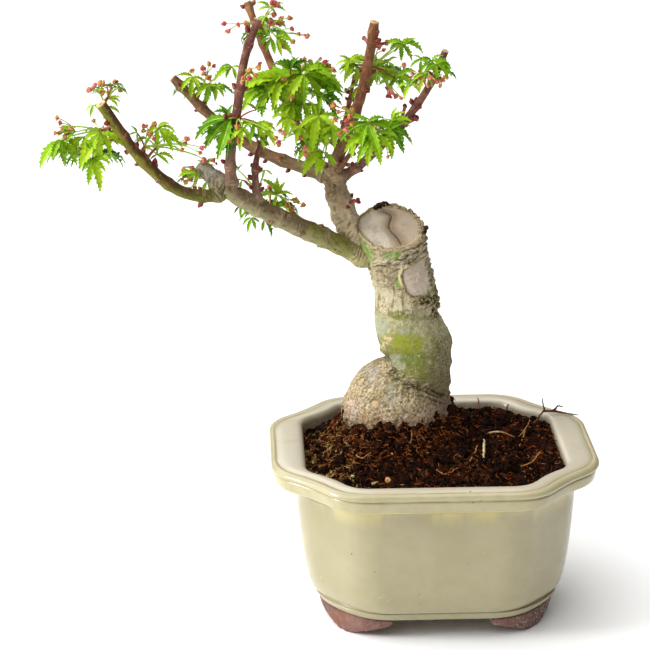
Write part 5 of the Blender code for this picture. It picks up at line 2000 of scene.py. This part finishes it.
# pixel and length of each of the larger buds, then of the knobs
budPlaces = (
    227, 115.5, 2.4, 223, 163.3, 2.4, 251.9, 178.7, 2.4, 260.5, 171, 2.2, 260.5, 191, 2.4, 290, 170, 2.4,
    202.6, 203.5, 2.9, 261.4, 154, 2.4, 266.7, 161.4, 2.2, 416, 119.5, 2.6, 352, 198, 2.8, 358, 202, 2.8,
    109, 124, 2.6, 137, 147, 2.6, 155, 165, 3.0, 241, 29, 2.8, 376, 42, 3.0, 344, 92, 2.8, 404, 99, 2.8,
    413, 119, 3.0, 340, 172, 2.4, 330, 135, 2.2, 228, 86, 2.2, 366, 92, 2.6)
knobPlaces = (
    269.6, 221.4, 2.6, 287.9, 217, 2.2, 300.9, 231.8, 3.0, 321.3, 226.8, 2.4, 333.7, 248.6, 2.0,
    157.5, 181, 1.8, 334, 186, 1.8, 331, 201, 1.6, 246, 193, 1.6)


def onLimb(x, y):
    # the nearest limb's skin as seen at that pixel, the way out of it and the way along it
    limb, run = limbNear(x, y)
    point, way = limb.at(run)[:2]
    sight = sightLine(x, y)
    away = (eye - point) + sight * (point - eye).dot(sight)
    radius = limb.radiusAt(run) * 1.02
    if away.length > radius:
        out = away.normalized()
    else:
        out = (away - sight * sqrt(radius ** 2 - away.length ** 2)) / radius
    return point + out * radius * 0.9, out, way


def limbNear(x, y):
    # the limb whose outline lies nearest to that pixel, and how far along it
    sight = sightLine(x, y)
    best = (1e9, None, 0.0)
    for limb in limbs.values():
        for k in range(int((limb.total - limb.bare) / 0.8)):
            run = limb.bare + 0.8 * k
            away = limb.at(run)[0] - eye
            gap = (away - sight * away.dot(sight)).length - limb.radiusAt(run)
            if gap < best[0]:
                best = (gap, limb, run)
    return best[1:]


def ballTree():
    # a lumpy little ball on every point of the carrier, sized by its own attribute
    balls = Growth("balls", (("Lumps", "Float", 0.00075),))
    cells = balls.node("ShaderNodeTexVoronoi", values={"Scale": 900.0})
    normal = balls.node("GeometryNodeInputNormal")
    shift = balls.vector("SCALE", normal, (0.45 - cells) * balls.input("Lumps"))
    size = balls.node("GeometryNodeInputNamedAttribute", {"data_type": "FLOAT"}, {"Name": "size"})
    return balls.end(balls.input("Geometry"), balls.lumpyBall(0.001, shift),
                     balls.chance(5, (0.0, 0.0, 0.0), fullTurn), size)


def ballPiece(name, tree, places, sizes, material, lumps):
    carrier = makePiece(name + "Points", places, [], [])
    layer = carrier.data.attributes.new("size", "FLOAT", "POINT")
    layer.data.foreach_set("value", sizes)
    return grownPiece(name, carrier, tree, {"Material": material, "Lumps": lumps})


blossomTones = {
    # shaded tone, lit tone, tone of the patches
    "blossomPink": ("b03c42", "e2847e", "b2803a"),
    "blossomRed": ("84222a", "be4a4e", "b06c34"),
    "blossomGold": ("965c22", "c49c46", "b84242"),
}


def blossomRecipe(name):
    petal = Recipe(name)
    dark, light, patch = (paint(tone) for tone in blossomTones[name])
    fine = petal.cloud(petal.place(), 1300.0, 3.0, 0.6)
    petal.ground(petal.band(fine, 0.40, 0.60), dark, light)
    petal.coat(petal.band(petal.cloud(petal.place(), 620.0, 2.0, 0.5), 0.48, 0.60) * 0.85, patch)
    petal.bump(fine, 0.0006, 0.8)
    return petal.surface(0.6, Specular_IOR_Level=0.3)


def makeBlossoms(blossoms, chance):
    tree = ballTree()
    groups = {name: [] for name in blossomTones}
    draw = ("blossomPink", "blossomPink", "blossomRed", "blossomGold", "blossomGold")
    for entry in blossoms:
        groups[chance.choice(draw)].append(entry)
    for name, entries in groups.items():
        places, sizes = zip(*entries)
        finishPiece(ballPiece(name, tree, places, sizes, blossomRecipe(name), 0.0013), "leaf")


def leafRecipe(name, dark, light):
    leaf = Recipe(name)
    place = leaf.place()
    fine = leaf.cloud(place, 900.0)
    patches = leaf.band(leaf.cloud(place, 90.0, 2.0) + fine * 0.4, 0.45, 0.95)
    leaf.ground(patches, paint(dark), paint(light))
    leaf.bump(fine, 0.0003, 0.5)
    return leaf.surface(leaf.band(fine, 0.3, 0.7) * 0.1 + 0.45, Specular_IOR_Level=0.16)


def makeCrown():
    crown = Crown(random.Random(21))
    for name in sprays:
        crown.spray(name)
    carriers = {}
    for limbName, node, *_ in sprays.values():
        carriers.setdefault(node, limbName)
    for node, limbName in carriers.items():
        crown.fill(node, limbName)
    crown.nodeBuds()
    crown.spurs()
    crown.largeBuds()
    leaves = [leafRecipe(name, *tones) for name, tones in leafTones.items()]
    stalks = [plainRecipe(name, *tones, 700.0, 0.5) for name, tones in stalkTones.items()]
    buds = [plainRecipe(name, *look) for name, look in budLooks.items()]
    finishPiece(crown.leaves.piece("youngLeaves", leaves), "leaf", *carriers)
    finishPiece(crown.stalks.piece("leafStalks", stalks), "leaf")
    finishPiece(crown.buds.piece("buds", buds), "limb")
    makeBlossoms(crown.blossoms, crown.chance)


makeCrown()
print("crown made")


# Loose bits on the soil: roots, sticks, a pebble, a chip and a few bright crumbs

bits = {
    # name: shaded and lit tones, radius at both ends, then pixels with a height above the soil
    "paleSticks": ("967a4e", "d8c496", 0.55, 0.40, (
        (484, 440, 2.2, 484, 450, 2.6, 483.5, 461, 1.0), (489, 433, 0.6, 498, 432, 1.0, 505, 433, 0.8),
        (372, 484, 0.6, 378, 482, 1.0))),
    "tanRoots": ("784a22", "be884e", 0.30, 0.16, (
        (503, 432, 0.8, 517, 437, 1.2, 526, 428, 1.6, 530, 420, 1.2),
        (526, 428, 1.4, 523, 438, 1.8, 519, 447, 0.6), (411, 430, 1.5, 412, 438, 2.0, 409, 447, 0.6),
        (470, 462, 0.5, 476, 450, 1.6, 478, 440, 0.8), (352, 452, 0.6, 362, 458, 1.4, 371, 452, 0.6),
        (436, 470, 0.6, 446, 474, 1.2, 458, 468, 0.6), (540, 452, 0.6, 532, 462, 1.2, 521, 466, 0.5))),
    "darkRoots": ("341e0e", "704826", 0.55, 0.22, (
        (534, 424, 0.4, 541, 414, 3.0, 544, 409, 4.5, 542, 398, 6.5),
        (543, 411, 4.4, 553, 411, 5.0, 565, 413, 4.6, 578, 415, 3.4),
        (553, 411, 5.0, 558, 406, 6.4, 563, 407, 6.6), (565, 413, 4.6, 570, 418, 4.0, 575, 420, 3.6),
        (506, 412, 0.5, 508, 404, 3.4), (480, 412, 0.5, 478, 398, 5.0))),
}
pebbles = {
    # name: shaded and lit tones, then pixel and radius of each
    "redBits": ("782222", "be5c5c", (321, 441, 0.7, 310.5, 446, 0.7, 326, 447, 0.5)),
    "orangePebble": ("965c28", "ce985a", (388, 481, 1.5, 443, 428, 0.8, 560, 447, 0.5)),
    "rimStub": ("0e0a06", "483622", (375.5, 207, 1.2, 379, 205, 1.5, 383, 203.5, 1.4, 386.5, 203, 1.1,
                                     426, 227, 1.1, 425, 231, 0.9)),
    "greenBits": ("465222", "868c4a", (314, 436, 0.9, 325, 438, 0.8, 331, 446, 0.7, 318, 450, 0.8)),
}


def makeBits(rings):
    ground = BVHTree.FromPolygons(flat(rings), gridFaces(len(rings), len(rings[0])))

    def onSoil(x, y, above, depth):
        # where that pixel falls on the soil, or at the last depth when it is seen past the soil
        lifted = Vector((0, 0, above))
        hit = ground.ray_cast(eye - lifted, sightLine(x, y))[0]
        return (hit + lifted, hit.y) if hit else (atPixel(x, y, depth), depth)

    for name, (dark, light, thick, thin, routes) in bits.items():
        heap = Heap()
        for route in routes:
            depth = 30.0
            places = []
            for x, y, above in grouped(route, 3):
                place, depth = onSoil(x, y, above, depth)
                places.append(place)
            line = curvePoints(places, 0.5)
            radii = [thick + (thin - thick) * k / (len(line) - 1) for k in range(len(line))]
            for place in line:
                spread = place * 0.9
                place += Vector((noise.noise(spread), noise.noise(spread + Vector((5, 2, 1))), 0)) * 0.35
            addTube(heap, line, radii, 7, 0)
        finishPiece(heap.piece(name, [plainRecipe(name, dark, light, 900.0, 0.9)]), "soil")
    tree = ballTree()
    for name, (dark, light, places) in pebbles.items():
        if name == "rimStub":
            points = [onCut(x, y + 1.0) for x, y, _ in grouped(places, 3)]
        else:
            points = [onSoil(x, y, radius * 0.4, 0.0)[0] for x, y, radius in grouped(places, 3)]
        finish = plainRecipe(name, dark, light, 900.0, 0.9)
        finishPiece(ballPiece(name, tree, points, places[2::3], finish, 0.0006), "soil")


makeBits(soilTop)
print("loose bits made")
